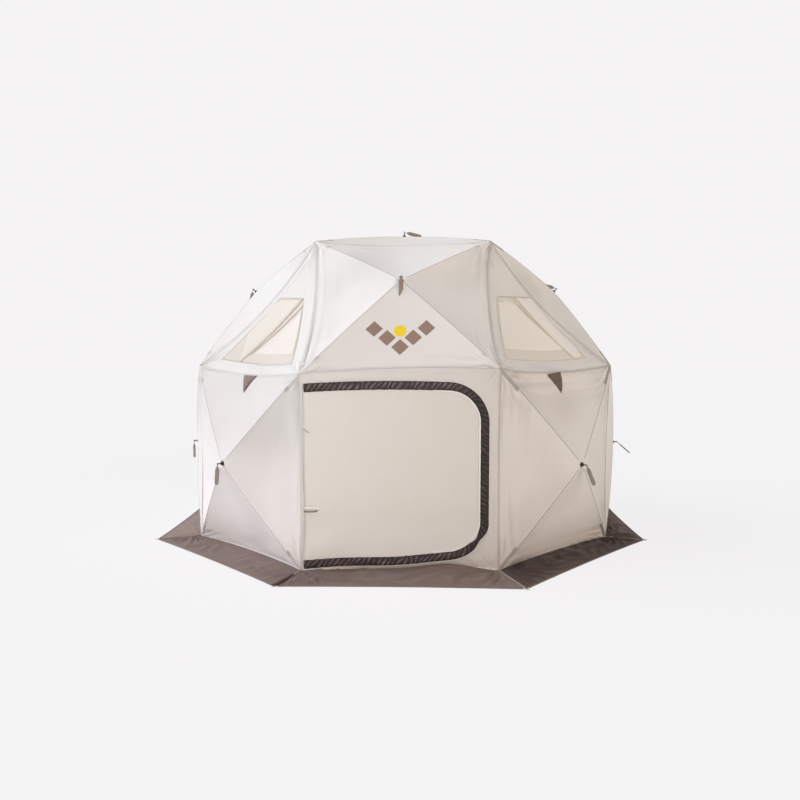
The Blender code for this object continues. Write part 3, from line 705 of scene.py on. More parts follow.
def ringed(shape, rings, joined=False):
    """Adds a bar through rings of points, closed at its ends, with its run and girth as UVs."""
    columns, rows = len(rings) - (0 if joined else 1), len(rings[0])
    made = bmesh.ops.create_grid(shape, x_segments=columns, y_segments=rows, size=0.5)["verts"]
    flat = shape.loops.layers.uv.get("cloth") or shape.loops.layers.uv.new("cloth")
    runs, girths = [0], [0]
    for ring, after in zip(rings, rings[1:] + rings[:1]):
        runs.append(runs[-1] + (after[0] - ring[0]).length)
    middle = rings[len(rings) // 2]
    for point, after in zip(middle, middle[1:] + middle[:1]):
        girths.append(girths[-1] + (after - point).length)
    for vert in made:
        here = round((vert.co.x + 0.5) * columns)
        turn = round((vert.co.y + 0.5) * rows)
        for loop in vert.link_loops:
            loop[flat].uv = (girths[turn], runs[here])
        vert.co = rings[here % len(rings)][turn % rows]
    bmesh.ops.remove_doubles(shape, verts=made, dist=MERGE_WITHIN)
    open_edges = [edge for edge in shape.edges if edge.is_boundary]
    bmesh.ops.holes_fill(shape, edges=open_edges, sides=0)
    return shape


def oval(width, height, count):
    angles = [TURN * step / count for step in range(count)]
    return [(width / 2 * math.cos(a), height / 2 * math.sin(a)) for a in angles]


def along_path(shape, path, upright, outline, joined=False):
    """Carries an outline of (across, up) places along a path, with up near a given direction."""
    rings = []
    for index, point in enumerate(path):
        if joined:
            along = path[(index + 1) % len(path)] - path[index - 1]
        else:
            along = path[min(index + 1, len(path) - 1)] - path[max(index - 1, 0)]
        across = along.cross(upright).normalized()
        up = across.cross(along).normalized()
        rings.append([point + across * x + up * y for x, y in outline])
    return ringed(shape, rings, joined)


def closed(shape):
    """Turns a closed shape's faces outwards."""
    bmesh.ops.recalc_face_normals(shape, faces=shape.faces[:])
    return shape


def looking(shape, way):
    """Turns an open sheet's faces to look one way."""
    closed(shape)
    shape.faces.ensure_lookup_table()
    if shape.faces[0].normal.dot(way) < 0:
        bmesh.ops.reverse_faces(shape, faces=shape.faces[:])


def beside_pole(square, index, back, aside):
    """The cloth a way back from a corner along its pole's line, and aside of it."""
    length = square.corners[index].length
    after = square.corners[(index + 1) % 4].length
    before = square.corners[index - 1].length
    first = 1 - back / length
    if aside >= 0:
        spot = square.corners[index] * first + square.corners[(index + 1) % 4] * (aside / after)
    else:
        spot = square.corners[index] * first + square.corners[index - 1] * (-aside / before)
    reach = abs(spot.x) + abs(spot.y)
    return square.place(spot * min(1, (1 - MERGE_WITHIN) * abs(reach) / reach))


def stretch_with(made, square, lift):
    """Bakes a piece's place into its mesh."""
    aside = square.outwards * lift
    square.foot + aside
    square.apex + aside
    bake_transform(made)


def pocket(shape, square, index, start, end, width, height):
    """A strip of webbing folded over the pole's line."""
    rings = []
    across = POCKET_ACROSS_SHARES
    for step in range(POCKET_STEPS + 1):
        back = start + (end - start) * step / POCKET_STEPS
        places = [beside_pole(square, index, back + abs(x) * width, x * width) for x in across]
        top = [p + square.outwards * height * z for p, z in zip(places, POCKET_RISE_SHARES)]
        foot = [p - square.outwards * PIPING_HEIGHT / 4 for p in reversed(places)]
        rings.append(top + foot)
    return ringed(shape, rings)


def webbing(name, colour, other=None, pitch=WEBBING_PITCH, roughness=0.75):
    """Woven tape: ribs across it, a herringbone of threads and faint mottling."""
    tape = Finish(name, colour, roughness, Sheen_Weight=0.1, Specular_IOR_Level=0.3)
    place = tape.flat_place()
    x, y, _ = tape.parts(place)
    ribs = (y * (TURN / pitch)).sine() * 0.5 + (x * (TURN / pitch)).sine() * 0.5
    mottle = tape.speckle(place, WEBBING_MOTTLE_SIZE, 4.0)
    # The fade from one colour to the other, left to right, is painted light and shade.
    base = tape.mottled(mottle, colour, *WEBBING_MOTTLE, other)
    relief = tape.bump(ribs, pitch * WEBBING_DEPTH_SHARE)
    tape.shade(Base_Color=base, Normal=relief)
    return tape


piping_tape = webbing("grey_piping", PIPING_COLOUR, SHADED_PIPING_COLOUR)
pocket_tape = webbing("grey_pocket_webbing", POCKET_COLOUR, SHADED_POCKET_COLOUR)
tack_tape = webbing("grey_tack_stitching", TACK_COLOUR, SHADED_TACK_COLOUR, pitch=TACK_PITCH)
pale_pocket_tape = webbing("pale_pocket_webbing", PALE_POCKET_COLOUR)
pale_tack_tape = webbing("pale_tack_stitching", PALE_TACK_COLOUR, pitch=TACK_PITCH)
for square in squares:
    shape = bmesh.new()
    for index in range(4):
        length = square.corners[index].length
        start = PIPING_START / length
        reaches = [start + (1 - start) * step / PIPING_STEPS for step in range(PIPING_STEPS + 1)]
        path = [square.out_from_hub(index, reach, 0) for reach in reaches]
        along_path(shape, path, square.outwards, oval(PIPING_WIDTH, PIPING_HEIGHT, 8))
    seams = piece(square.name + "_pole_seams", closed(shape), piping_tape)
    stretch_with(seams, square, CLOTH)
    shape, tacks = bmesh.new(), bmesh.new()
    for index in range(4):
        end = POCKET_START + LONG_POCKETS.get(square.name, POCKET_LENGTH)
        pocket(shape, square, index, POCKET_START, end, POCKET_WIDTH, POCKET_HEIGHT)
        tack = POCKET_HEIGHT + TACK_HEIGHT
        pocket(tacks, square, index, end - TACK_LENGTH, end, POCKET_WIDTH, tack)
    pale = square.name == PALE_POCKETS
    pockets = piece(square.name + "_pole_pockets", closed(shape), pale_pocket_tape if pale else pocket_tape)
    stretch_with(pockets, square, CLOTH + POCKET_HEIGHT / 2)
    tacks = piece(square.name + "_pocket_tacks", closed(tacks), pale_tack_tape if pale else tack_tape)
    stretch_with(tacks, square, CLOTH + POCKET_HEIGHT)

# The hubs: black nylon, a clamp plate and slotted pivot body inside the cloth, a cone screwed down on
# it outside with a post, and a wire eye through the post for the pull strap.
HUB_GAP = 0.0003
HUB_PLATE_RADIUS = 0.038
HUB_PLATE = 0.0042
HUB_BODY_RADIUS = 0.034
HUB_DEPTH = 0.030
HUB_STEPS = 48
HUB_EDGE = 0.0012
STUD_RADIUS = 0.004
CONE_RADIUS = 0.016
CONE_TOP_RADIUS = 0.006
CONE_HEIGHT = 0.016
EYE_HEIGHT = 0.040
EYE_WIDTH = 0.018
EYE_DEPTH = 0.012
EYE_WIRE = 0.0025
EYE_CORNER = 0.004
EYE_CORNER_STEPS = 8
WIRE_SIDES = 12
SLOT_HALF_WIDTH = 0.0061
SLOT_START = 0.0205
CUT_OVERRUN = 0.005
RING_RADIUS = 0.027
RING_DEPTH = 0.014
RING_CAVITY = 0.0026
CONE_RIBS = 8
RIB_WIDTH = 0.0016
GRAIN_SIZE = 0.0012
GRAIN_DEPTH = 0.00012
FLOW_SIZE = 0.012
FLOW_TINTS = (0.85, 1.25)
FLOW_ROUGHNESS = (-0.06, 0.14)
EYE_GRAIN_SIZE = 0.004
HUB_COLOUR = (34, 32, 33)
EYE_COLOUR = (92, 90, 90)


def turned(shape, profile, steps):
    """Turns a profile of (radius, height) places round z."""
    verts = [shape.verts.new((radius, 0, height)) for radius, height in profile]
    edges = [shape.edges.new(pair) for pair in zip(verts, verts[1:])]
    if profile[0][0] > 0:
        edges.append(shape.edges.new((verts[-1], verts[0])))
    bmesh.ops.spin(
        shape, geom=verts + edges, axis=UP, cent=(0, 0, 0), angle=TURN, steps=steps, use_merge=True
    )
    bmesh.ops.remove_doubles(shape, verts=shape.verts[:], dist=MERGE_WITHIN)
    return closed(shape)


def loose(name, shape):
    """An object for a cut, which is thrown away after it."""
    mesh = bpy.data.meshes.new(name)
    shape.to_mesh(mesh)
    shape.free()
    made = bpy.data.objects.new(name, mesh)
    bpy.context.scene.collection.objects.link(made)
    return made


def cut_by(shape, tools):
    """Cuts other shapes out of a shape."""
    body = loose("body", shape)
    cutters = [loose("cutter", tool) for tool in tools]
    for cutter in cutters:
        cut = body.modifiers.new("cut", "BOOLEAN")
        cut.operation = "DIFFERENCE"
        cut.solver = "EXACT"
        cut.object = cutter
    bpy.context.view_layer.update()
    result = bmesh.new()
    result.from_object(body, bpy.context.evaluated_depsgraph_get())
    for helper in [body, *cutters]:
        bpy.data.objects.remove(helper)
    return result


def box_profile(radius, depth, half):
    """A square of (radius, height) places round a middle."""
    signs = ((-1, -1), (1, -1), (1, 1), (-1, 1))
    return [(radius + x * half, depth + z * half) for x, z in signs]


def hub_body(azimuths):
    """The moulded body, its edges rounded, with a slot for each pole and the ring's groove."""
    top = -(CLOTH + HUB_GAP)
    foot = top - HUB_PLATE
    edge = HUB_EDGE
    profile = [
        (0, -HUB_DEPTH),
        (HUB_BODY_RADIUS - edge, -HUB_DEPTH),
        (HUB_BODY_RADIUS, -HUB_DEPTH + edge),
        (HUB_BODY_RADIUS, foot),
        (HUB_PLATE_RADIUS - edge, foot),
        (HUB_PLATE_RADIUS, foot + edge),
        (HUB_PLATE_RADIUS, top - edge),
        (HUB_PLATE_RADIUS - edge, top),
        (STUD_RADIUS, top),
        (STUD_RADIUS, HUB_GAP),
        (CONE_RADIUS - edge, HUB_GAP),
        (CONE_RADIUS, HUB_GAP + edge),
        (CONE_RADIUS, HUB_GAP + 3 * edge),
        (CONE_RADIUS - edge, HUB_GAP + 4 * edge),
        (CONE_TOP_RADIUS + edge, CONE_HEIGHT - edge),
        (CONE_TOP_RADIUS, CONE_HEIGHT),
        (STUD_RADIUS, CONE_HEIGHT + edge),
        (STUD_RADIUS, EYE_HEIGHT - EYE_DEPTH - EYE_WIRE),
        (STUD_RADIUS + edge, EYE_HEIGHT - EYE_DEPTH),
        (STUD_RADIUS, EYE_HEIGHT - EYE_DEPTH + EYE_WIRE),
        (0, EYE_HEIGHT - EYE_DEPTH + EYE_WIRE + edge),
    ]
    groove = box_profile(RING_RADIUS, -RING_DEPTH, RING_CAVITY)
    tools = [turned(bmesh.new(), groove, HUB_STEPS)]
    for azimuth in azimuths:
        length = HUB_PLATE_RADIUS + CUT_OVERRUN - SLOT_START
        height = HUB_DEPTH + CUT_OVERRUN + foot
        middle = Vector((SLOT_START + length / 2, 0, foot - height / 2))
        size = Matrix.Diagonal((length, 2 * SLOT_HALF_WIDTH, height, 1))
        place = Matrix.Rotation(azimuth, 4, "Z") @ Matrix.Translation(middle) @ size
        slot_shape = bmesh.new()
        bmesh.ops.create_cube(slot_shape, size=1, matrix=place)
        tools.append(slot_shape)
    shape = cut_by(turned(bmesh.new(), profile, HUB_STEPS), tools)
    for step in range(CONE_RIBS):
        rib = Matrix.Rotation(TURN * step / CONE_RIBS, 4, "Z")
        low = rib @ Vector((CONE_RADIUS - 2 * edge, 0, HUB_GAP + 4 * edge))
        high = rib @ Vector((CONE_TOP_RADIUS + edge, 0, CONE_HEIGHT - edge))
        path = [low.lerp(high, share / 4) for share in range(5)]
        along_path(shape, path, UP, oval(RIB_WIDTH, 2 * RIB_WIDTH, 8))
    return shape


def eye_shape():
    """A loop of wire with rounded corners, its upper bar holding the strap."""
    half, low = EYE_WIDTH / 2 - EYE_CORNER, EYE_HEIGHT - EYE_DEPTH + EYE_CORNER
    high = EYE_HEIGHT - EYE_CORNER
    path = []
    for corner, (x, z) in enumerate(((half, low), (half, high), (-half, high), (-half, low))):
        for step in range(EYE_CORNER_STEPS):
            angle = (corner - 1 + step / (EYE_CORNER_STEPS - 1)) * TURN / 4
            path.append(Vector((x + EYE_CORNER * math.cos(angle), 0, z + EYE_CORNER * math.sin(angle))))
    side = Vector((0, 1, 0))
    wire = oval(2 * EYE_WIRE, 2 * EYE_WIRE, WIRE_SIDES)
    return closed(along_path(bmesh.new(), path, side, wire, joined=True))


def moulded(name, colour, roughness=0.42):
    """Moulded nylon with a fine spark-eroded grain and faint flow marks."""
    nylon = Finish(name, colour, roughness, Specular_IOR_Level=0.45)
    place = nylon.solid_place()
    grain = nylon.speckle(place, GRAIN_SIZE, 3.0)
    flow = nylon.speckle(place, FLOW_SIZE, 3.0)
    base = nylon.mottled(flow, colour, *FLOW_TINTS)
    relief = nylon.bump(grain, GRAIN_DEPTH)
    least, more = FLOW_ROUGHNESS
    nylon.shade(Base_Color=base, Normal=relief, Roughness=roughness + least + flow * more)
    return nylon


def sharpened(made, angle):
    """Keeps a moulded or metal piece's real edges sharp."""
    made.data.set_sharp_from_angle(angle=angle)
    return made


hub_nylon = moulded("black_hub_nylon", HUB_COLOUR)
eye_wire = Finish("grey_eye_wire", EYE_COLOUR, 0.32, Metallic=0.9)
eye_grain = eye_wire.speckle(eye_wire.solid_place(), EYE_GRAIN_SIZE)
eye_wire.shade(Roughness=0.22 + eye_grain * 0.25)
hub_forms = {}
for square in squares:
    kind = square.name.split("_")[0] if square.name not in SIDES else "wall"
    if kind not in hub_forms:
        form = hub_body([math.atan2(corner.y, corner.x) for corner in square.corners])
        hub_forms[kind] = bpy.data.meshes.new(kind + "_hub")
        form.to_mesh(hub_forms[kind])
        form.free()
    turned_frame = square.frame
    if square.name == "roof":
        turned_frame = square.frame @ Matrix.Rotation(TURN / 4, 4, "Z")
    shape = bmesh.new()
    shape.from_mesh(hub_forms[kind])
    bmesh.ops.transform(shape, matrix=square.frame, verts=shape.verts[:])
    hub = sharpened(piece("hub_body_" + square.name, shape, hub_nylon), TURN / 12)
    in_place_of("hub_" + square.name)
    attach(hub, "hub_" + square.name)
    shape = eye_shape()
    bmesh.ops.transform(shape, matrix=turned_frame, verts=shape.verts[:])
    eye = piece("hub_eye_" + square.name, shape, eye_wire)
    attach(eye, "hub_" + square.name)

# The pull straps: brown webbing folded in half over the hub's eye, narrowed at the fold, sewn
# together below it and at its rounded end. Each hangs or lies on the cloth.
STRAP_LENGTH = 0.142
STRAP_WIDTH = 0.029
STRAP_NECK_WIDTH = 0.010
STRAP_FLARE_START = 0.012
STRAP_FLARE_END = 0.034
STRAP_LAYER = 0.0016
STRAP_STEPS = 26
STRAP_TIP_STEPS = 9
STRAP_BEND_STEPS = 14
STRAP_LOOP = EYE_WIRE + 0.0013
STITCH_THREAD = 0.0010
STRAP_COLOUR = (153, 139, 131)
THREAD_COLOUR = (128, 111, 103)
THREAD_PITCH = 0.0006
LAYER_ASIDE_SHARE = 0.52
LOOP_START_SHARE = 1.5
LOOP_TURN_SHARE = 0.62
STITCH_LIFT_SHARE = 1.06
STITCH_ROWS = (0.040, 0.054, STRAP_LENGTH - 0.030)
STITCH_ROW_SHARE = 0.38
TWIST_START = 0.008
TWIST_LENGTH = 0.040
TWISTS = {
    "front_left": 0.5,
    "front_right": -0.4,
    "left": 0.9,
    "right": 0.12,
    "upper_left": 1.25,
    "upper_right": 1.3,
    "roof": -1.3,
    "upper_front": 0.45,
    "back_left": -0.4,
    "back": 0.3,
}
LEANS = {"front_left": 0.08, "front_right": 0.45, "right": 0.85, "roof": 0.2}


def strap_half_width(down):
    """Half the strap's width a way down from the eye's bar."""
    neck, full = STRAP_NECK_WIDTH / 2, STRAP_WIDTH / 2
    flare = ease((down - STRAP_FLARE_START) / (STRAP_FLARE_END - STRAP_FLARE_START))
    half = neck + (full - neck) * flare
    past = down - (STRAP_LENGTH - full)
    if past > 0:
        half = math.sqrt(max(full * full - past * past, 0))
    return max(half, STRAP_LAYER / 2)


def strap_line():
    """The fold's middle line: (aside, down) places up one layer, over the bar and down the other."""
    tip_start = STRAP_LENGTH - STRAP_WIDTH / 2
    start = STRAP_LOOP * LOOP_START_SHARE
    downs = [start + (tip_start - start) * step / STRAP_STEPS for step in range(STRAP_STEPS)]
    for step in range(STRAP_TIP_STEPS + 1):
        downs.append(tip_start + STRAP_WIDTH / 2 * math.sin(TURN / 4 * step / STRAP_TIP_STEPS))
    leg = [(STRAP_LAYER * LAYER_ASIDE_SHARE, down) for down in downs]
    bend = []
    for step in range(STRAP_BEND_STEPS + 1):
        angle = (step / STRAP_BEND_STEPS - 0.5) * TURN * LOOP_TURN_SHARE
        bend.append((-STRAP_LOOP * math.sin(angle), -STRAP_LOOP * math.cos(angle)))
    return list(reversed(leg)) + bend + [(-aside, down) for aside, down in leg]


def strap_shape():
    """The strap, hanging down from its eye's bar, which lies along x."""
    shape = bmesh.new()
    line = strap_line()
    rings = []
    for index, (aside, down) in enumerate(line):
        before, after = line[max(index - 1, 0)], line[min(index + 1, len(line) - 1)]
        way = Vector((after[0] - before[0], after[1] - before[1])).normalized()
        out = Vector((0, -way.y, -way.x)) * STRAP_LAYER / 2
        half = strap_half_width(down)
        middle = Vector((0, aside, -down))
        row = [middle + Vector((half * x, 0, 0)) for x in (-1, -0.6, -0.2, 0.2, 0.6, 1)]
        rings.append([point + out for point in row] + [point - out for point in reversed(row)])
    return closed(ringed(shape, rings))


def stitch_rows():
    """Rows of thread across the strap below its neck, and round its end, on both faces."""
    shape = bmesh.new()
    lift = STRAP_LAYER * STITCH_LIFT_SHARE
    thread = oval(STITCH_THREAD, STITCH_THREAD * 0.7, 6)
    half = STRAP_WIDTH * STITCH_ROW_SHARE
    rows = [[(x * half, down) for x in (-1, -0.5, 0, 0.5, 1)] for down in STITCH_ROWS]
    first, second = STITCH_ROWS[:2]
    for x in (-half, half):
        rows.append([(x, first + (second - first) * step / 4) for step in range(5)])
    for side in (-1, 1):
        for row in rows:
            path = [Vector((x, side * lift, -down)) for x, down in row]
            face = Vector((0, side, 0))
            along_path(shape, path, face, thread)
    return closed(shape)


strap_webbing = webbing("brown_strap_webbing", STRAP_COLOUR)
strap_thread = webbing("brown_strap_thread", THREAD_COLOUR, pitch=THREAD_PITCH)
joints = {joint["name"]: joint for joint in frame["joints"]}
for square in squares:
    node = "pull_strap_" + square.name
    joint = joints[f"strap_{square.name}_swing"]
    bar = Vector(joint["pos_m"])
    low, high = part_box(node)
    across = Vector(joint["axis"]).normalized()
    down = (low + high) / 2 - bar
    down = (down - across * down.dot(across)).normalized()
    axes = Matrix((across, down.cross(across) * -1, -down)).transposed()
    if axes.determinant() < 0:
        axes = Matrix((across, down.cross(across), -down)).transposed()
    place = Matrix.Translation(bar) @ axes.to_4x4()
    outside = 1 if axes.col[1].dot(square.outwards) > 0 else -1
    lean = Matrix.Rotation(outside * LEANS.get(square.name, 0), 3, "X")
    for name, shape, finish in (
        ("strap_webbing_", strap_shape(), strap_webbing),
        ("strap_stitches_", stitch_rows(), strap_thread),
    ):
        for vert in shape.verts:
            twist = TWISTS.get(square.name, 0) * ease((-vert.co.z - TWIST_START) / TWIST_LENGTH)
            vert.co = lean @ Matrix.Rotation(twist, 3, "Z") @ vert.co
        bmesh.ops.transform(shape, matrix=place, verts=shape.verts[:])
        made = piece(name + square.name, shape, finish)
        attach(made, "strap_" + square.name)
        if finish is strap_webbing:
            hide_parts(node)

# The poles: four grey fibreglass rods to a hub, which pivot on a wire ring in it. Each rod's end has
# a black cap that stands in its pocket in the shell's corner.
POLE_RADIUS = 0.0055
POLE_SETBACK = 0.045
POLE_CLEARANCE = 0.0012
POLE_SIDES = 14
POLE_STEPS = 40
POLE_PAST_RING = 0.004
RING_WIRE = 0.002
RING_STEPS = 40
CAP_LENGTH = 0.035
CAP_RADIUS = 0.0065
POLE_COLOUR = (88, 90, 95)
POLE_ASIDE = 0.01
CAP_STEPS = 6


def pole_tip(square, index):
    """The end of a pole, under both triangles of cloth beside it."""
    near = POLE_SETBACK / square.corners[index].length
    on_crease = square.out_from_hub(index, 1 - near, 0)
    edge = square.points[index]
    crease = (on_crease - edge).normalized()
    inwards = []
    for aside in (POLE_ASIDE, -POLE_ASIDE):
        beside = beside_pole(square, index, POLE_ASIDE, aside)
        normal = (beside - edge).cross(crease).normalized()
        inwards.append(normal if normal.dot(square.outwards) < 0 else -normal)
    way = (inwards[0] + inwards[1]).normalized()
    depth = (CLOTH + POLE_RADIUS + POLE_CLEARANCE) / way.dot(inwards[0])
    return on_crease + way * depth


fibreglass = moulded("grey_fibreglass", POLE_COLOUR, 0.38)
for square in squares:
    shape, caps = bmesh.new(), bmesh.new()
    to_hub = square.frame.inverted()
    for index in range(4):
        tip = pole_tip(square, index)
        level = to_hub @ tip
        level = Vector((level.x, level.y, 0)).normalized() * RING_RADIUS - UP * RING_DEPTH
        start = square.frame @ level
        along = (tip - start).normalized()
        start -= along * POLE_PAST_RING
        path = []
        for step in range(POLE_STEPS + 1):
            share = step / POLE_STEPS
            bow = square.outwards * POLE_BOW * 4 * share * (1 - share)
            path.append(start.lerp(tip, share) + bow)
        rod = oval(2 * POLE_RADIUS, 2 * POLE_RADIUS, POLE_SIDES)
        along_path(shape, path, square.outwards, rod)
        cap = [tip - along * CAP_LENGTH * (1 - step / CAP_STEPS) for step in range(CAP_STEPS + 1)]
        outline = oval(2 * CAP_RADIUS, 2 * CAP_RADIUS, POLE_SIDES)
        along_path(caps, cap, square.outwards, outline)
    ring = []
    for step in range(RING_STEPS):
        turn = Matrix.Rotation(TURN * step / RING_STEPS, 3, "Z")
        ring.append(square.frame @ (turn @ Vector((RING_RADIUS, 0, 0)) - UP * RING_DEPTH))
    wire = oval(2 * RING_WIRE, 2 * RING_WIRE, 8)
    along_path(shape, ring, square.outwards, wire, joined=True)
    under = -RING_DEPTH - RING_WIRE
    poles = piece("poles_and_ring_" + square.name, closed(shape), fibreglass)
    in_place_of("poles_" + square.name)
    stretch_with(poles, square, under)
    caps = piece("pole_caps_" + square.name, closed(caps), hub_nylon)
    stretch_with(caps, square, under)

# The gables between the slopes: triangles of shell cloth with no hub, drawn in by their seams. The
# two beside the front hold a window in a cream insert; the two behind are plain.
GABLE_NET = 60
LEAST_AREA = 0.301
WINDOW_GABLES = (1, 7)


class Gable(Cloth):
    """A triangle of cloth, its flat place counted from the middle of its eave."""

    def __init__(self, side, seed):
        points = gable_corners(side)
        self.points = [slipped(corner) for corner in points]
        self.bows = [eave_bow(side), gable_bow(side), gable_bow(side)]
        self.height = (points[2] - (points[0] + points[1]) / 2).length
        half = PANEL_SIDE / 2
        corners = [Vector((-half, 0)), Vector((half, 0)), Vector((0, self.height))]
        super().__init__(corners, normal_of(points), seed)

    def place(self, spot):
        top = spot.y / self.height
        lean = spot.x / PANEL_SIDE * 2
        shares = ((1 - top - lean) / 2, (1 - top + lean) / 2, top)
        point = sum((corner * share for corner, share in zip(self.points, shares)), Vector())
        for index, bow in enumerate(self.bows):
            point += bow * (4 * shares[index] * shares[(index + 1) % 3])
        return point

    def at(self, across, up):
        """The flat place at shares of the gable's width and height."""
        return Vector(((1 - up) * (across - 0.5) * PANEL_SIDE, up * self.height))

    def cloth_shape(self):
        shape = bmesh.new()
        shape.faces.new([shape.verts.new((*corner, 0)) for corner in self.corners])
        netted(self, shape, GABLE_NET)
        return shape


def sliced(shape, outline, keep_inside):
    """Cuts a flat shape along an outline that has no hollows, and keeps one side of it."""
    for start, end in zip(outline, outline[1:] + outline[:1]):
        along = (end - start).normalized()
        bmesh.ops.bisect_plane(
            shape,
            geom=shape.verts[:] + shape.edges[:] + shape.faces[:],
            dist=MERGE_WITHIN,
            plane_co=(*start, 0),
            plane_no=(along.y, -along.x, 0),
            clear_outer=keep_inside,
        )
    if not keep_inside:
        inside = []
        for face in shape.faces:
            middle = face.calc_center_median().to_2d()
            pairs = zip(outline, outline[1:] + outline[:1])
            if all((end - start).cross(middle - start) > 0 for start, end in pairs):
                inside.append(face)
        bmesh.ops.delete(shape, geom=inside, context="FACES")
    return shape


gables = {side: Gable(side, 200 + 9.7 * side) for side in range(1, len(SIDES), 2)}

# The window: a milky film sewn in a cream insert, with the zipped cover beside it. The insert fills
# the gable from seam to seam between its upper piece and its lower strip.
INSERT_SHARES = ((0.076, 0.088), (0.878, 0.084), (0.918, 0.200), (0.930, 0.597), (0.190, 0.590))
OTHER_INSERT_SHARES = ((0.114, 0.081), (0.894, 0.086), (0.901, 0.304), (0.836, 0.595), (0.275, 0.585))
FILM_SHARES = ((0.114, 0.176), (0.792, 0.172), (0.472, 0.554), (0.202, 0.548))
OTHER_FILM_SHARES = ((0.146, 0.157), (0.613, 0.162), (0.234, 0.497))
COVER_SHARES = (
    ((0.760, 0.094), (0.820, 0.092), (0.868, 0.112))
    + ((0.905, 0.190), (0.922, 0.592), (0.570, 0.594))
)
OTHER_COVER_SHARES = ((0.681, 0.088), (0.888, 0.300), (0.830, 0.588), (0.290, 0.580))
WELT_SHARES = ((0.486, 0.590), (0.755, 0.140))
OTHER_WELT_SHARES = ((0.245, 0.530), (0.640, 0.150))
SEAM_SHARES = (((0.03, 0.602), (0.97, 0.602)), ((0.09, 0.585), (0.025, 0.105)), ((0.0, 0.098), (1.0, 0.098)))
OTHER_SEAM_SHARES = (((0.10, 0.590), (0.84, 0.600)), ((0.0, 0.070), (1.0, 0.072)))
PANEL_CROWN = 0.002
PANEL_EDGE = 0.02
PANEL_SOFTNESS = 0.0012
PANEL_RATE = 9
COVER_START = 0.002
COVER_EDGE = 0.025
COVER_LIFT = 0.008
FILM_LIFT = 0.0012
WELT_WIDTH = 0.011
WELT_HEIGHT = 0.005
WINDOW_SEAM_WIDTH = 0.005
WINDOW_SEAM_HEIGHT = 0.003
CREAM_COLOUR = (224, 214, 204)
SHADED_CREAM_COLOUR = (238, 229, 219)
FILM_COLOUR = (222, 210, 202)
SHADED_FILM_COLOUR = (255, 246, 238)
COVER_COLOUR = (234, 224, 214)
SHADED_COVER_COLOUR = (251, 242, 236)
WELT_COLOUR = (226, 212, 197)
HAZE_SIZE = 0.12
RIPPLE_SIZE = 0.05
RIPPLE_DEPTH = 0.0012
INSERT_CRINKLE = 0.0003
COVER_CRINKLE = 0.0006
HEM_COLOUR = (238, 232, 228)


def as_seen(shares, mirrored):
    """Places on a gable, turned over for the gable on the other side of the front."""
    return [(1 - across, up) if mirrored else (across, up) for across, up in shares]


def outline_on(gable, shares, mirrored):
    """A window outline as flat places, anticlockwise on either gable."""
    places = [gable.at(across, up) for across, up in as_seen(shares, mirrored)]
    return places[::-1] if mirrored else places


def panel_on(gable, outline, lift, crown, edge):
    """A panel of the gable's cloth inside an outline, raised and crowned between its edges."""
    shape = bmesh.new()
    shape.faces.new([shape.verts.new((*corner, 0)) for corner in gable.corners])
    bmesh.ops.subdivide_edges(shape, edges=shape.edges[:], cuts=GABLE_NET - 1, use_grid_fill=True)
    sliced(shape, outline, keep_inside=True)
    border = Cloth(outline, gable.outwards, gable.seed + 70)
    flat = shape.loops.layers.uv.new("cloth")
    hem = shape.loops.layers.uv.new("hem")
    for vert in shape.verts:
        spot = vert.co.to_2d()
        run, inset = border.beside_seam(spot)
        mapped(vert, (flat, spot), (hem, (run, inset)))
        rise = lift + crown * ease(inset / edge)
        soft = PANEL_SOFTNESS * uneven(spot.x * PANEL_RATE, spot.y * PANEL_RATE, border.seed)
        soft *= ease(inset / edge)
        vert.co = gable.place(spot) + gable.outwards * (gable.folds(spot) + rise + soft)
    bmesh.ops.triangulate(shape, faces=[face for face in shape.faces if len(face.verts) > 4])
    return shape


def line_on(gable, shares, lift, count=40):
    """A line of points over the gable between places given in shares."""
    flat = [gable.at(across, up) for across, up in shares]
    lengths = [(after - before).length for before, after in zip(flat, flat[1:])]
    path = []
    for before, after, length in zip(flat, flat[1:], lengths):
        steps = max(round(count * length / sum(lengths)), 1)
        path += [before.lerp(after, step / steps) for step in range(steps)]
    path.append(flat[-1])
    return [gable.place(spot) + gable.outwards * (gable.folds(spot) + lift) for spot in path]


def milky_film(name, colour, other):
    """Milky flexible film: smooth, faintly wavy, with a soft gloss. Its colour may fade into another from
    left to right, as painted light.
    """
    film = Finish(name, colour, 0.55, Specular_IOR_Level=0.3, Coat_Roughness=0.25)
    place = film.flat_place()
    haze = film.speckle(place, HAZE_SIZE, 3.0)
    ripple = film.speckle(place, RIPPLE_SIZE, 2.0)
    base = film.mottled(haze, colour, *CLOTH_MOTTLE, other)
    film.shade(Base_Color=base, Normal=film.bump(ripple, RIPPLE_DEPTH), Coat_Weight=0.1 + haze * 0.1)
    return film


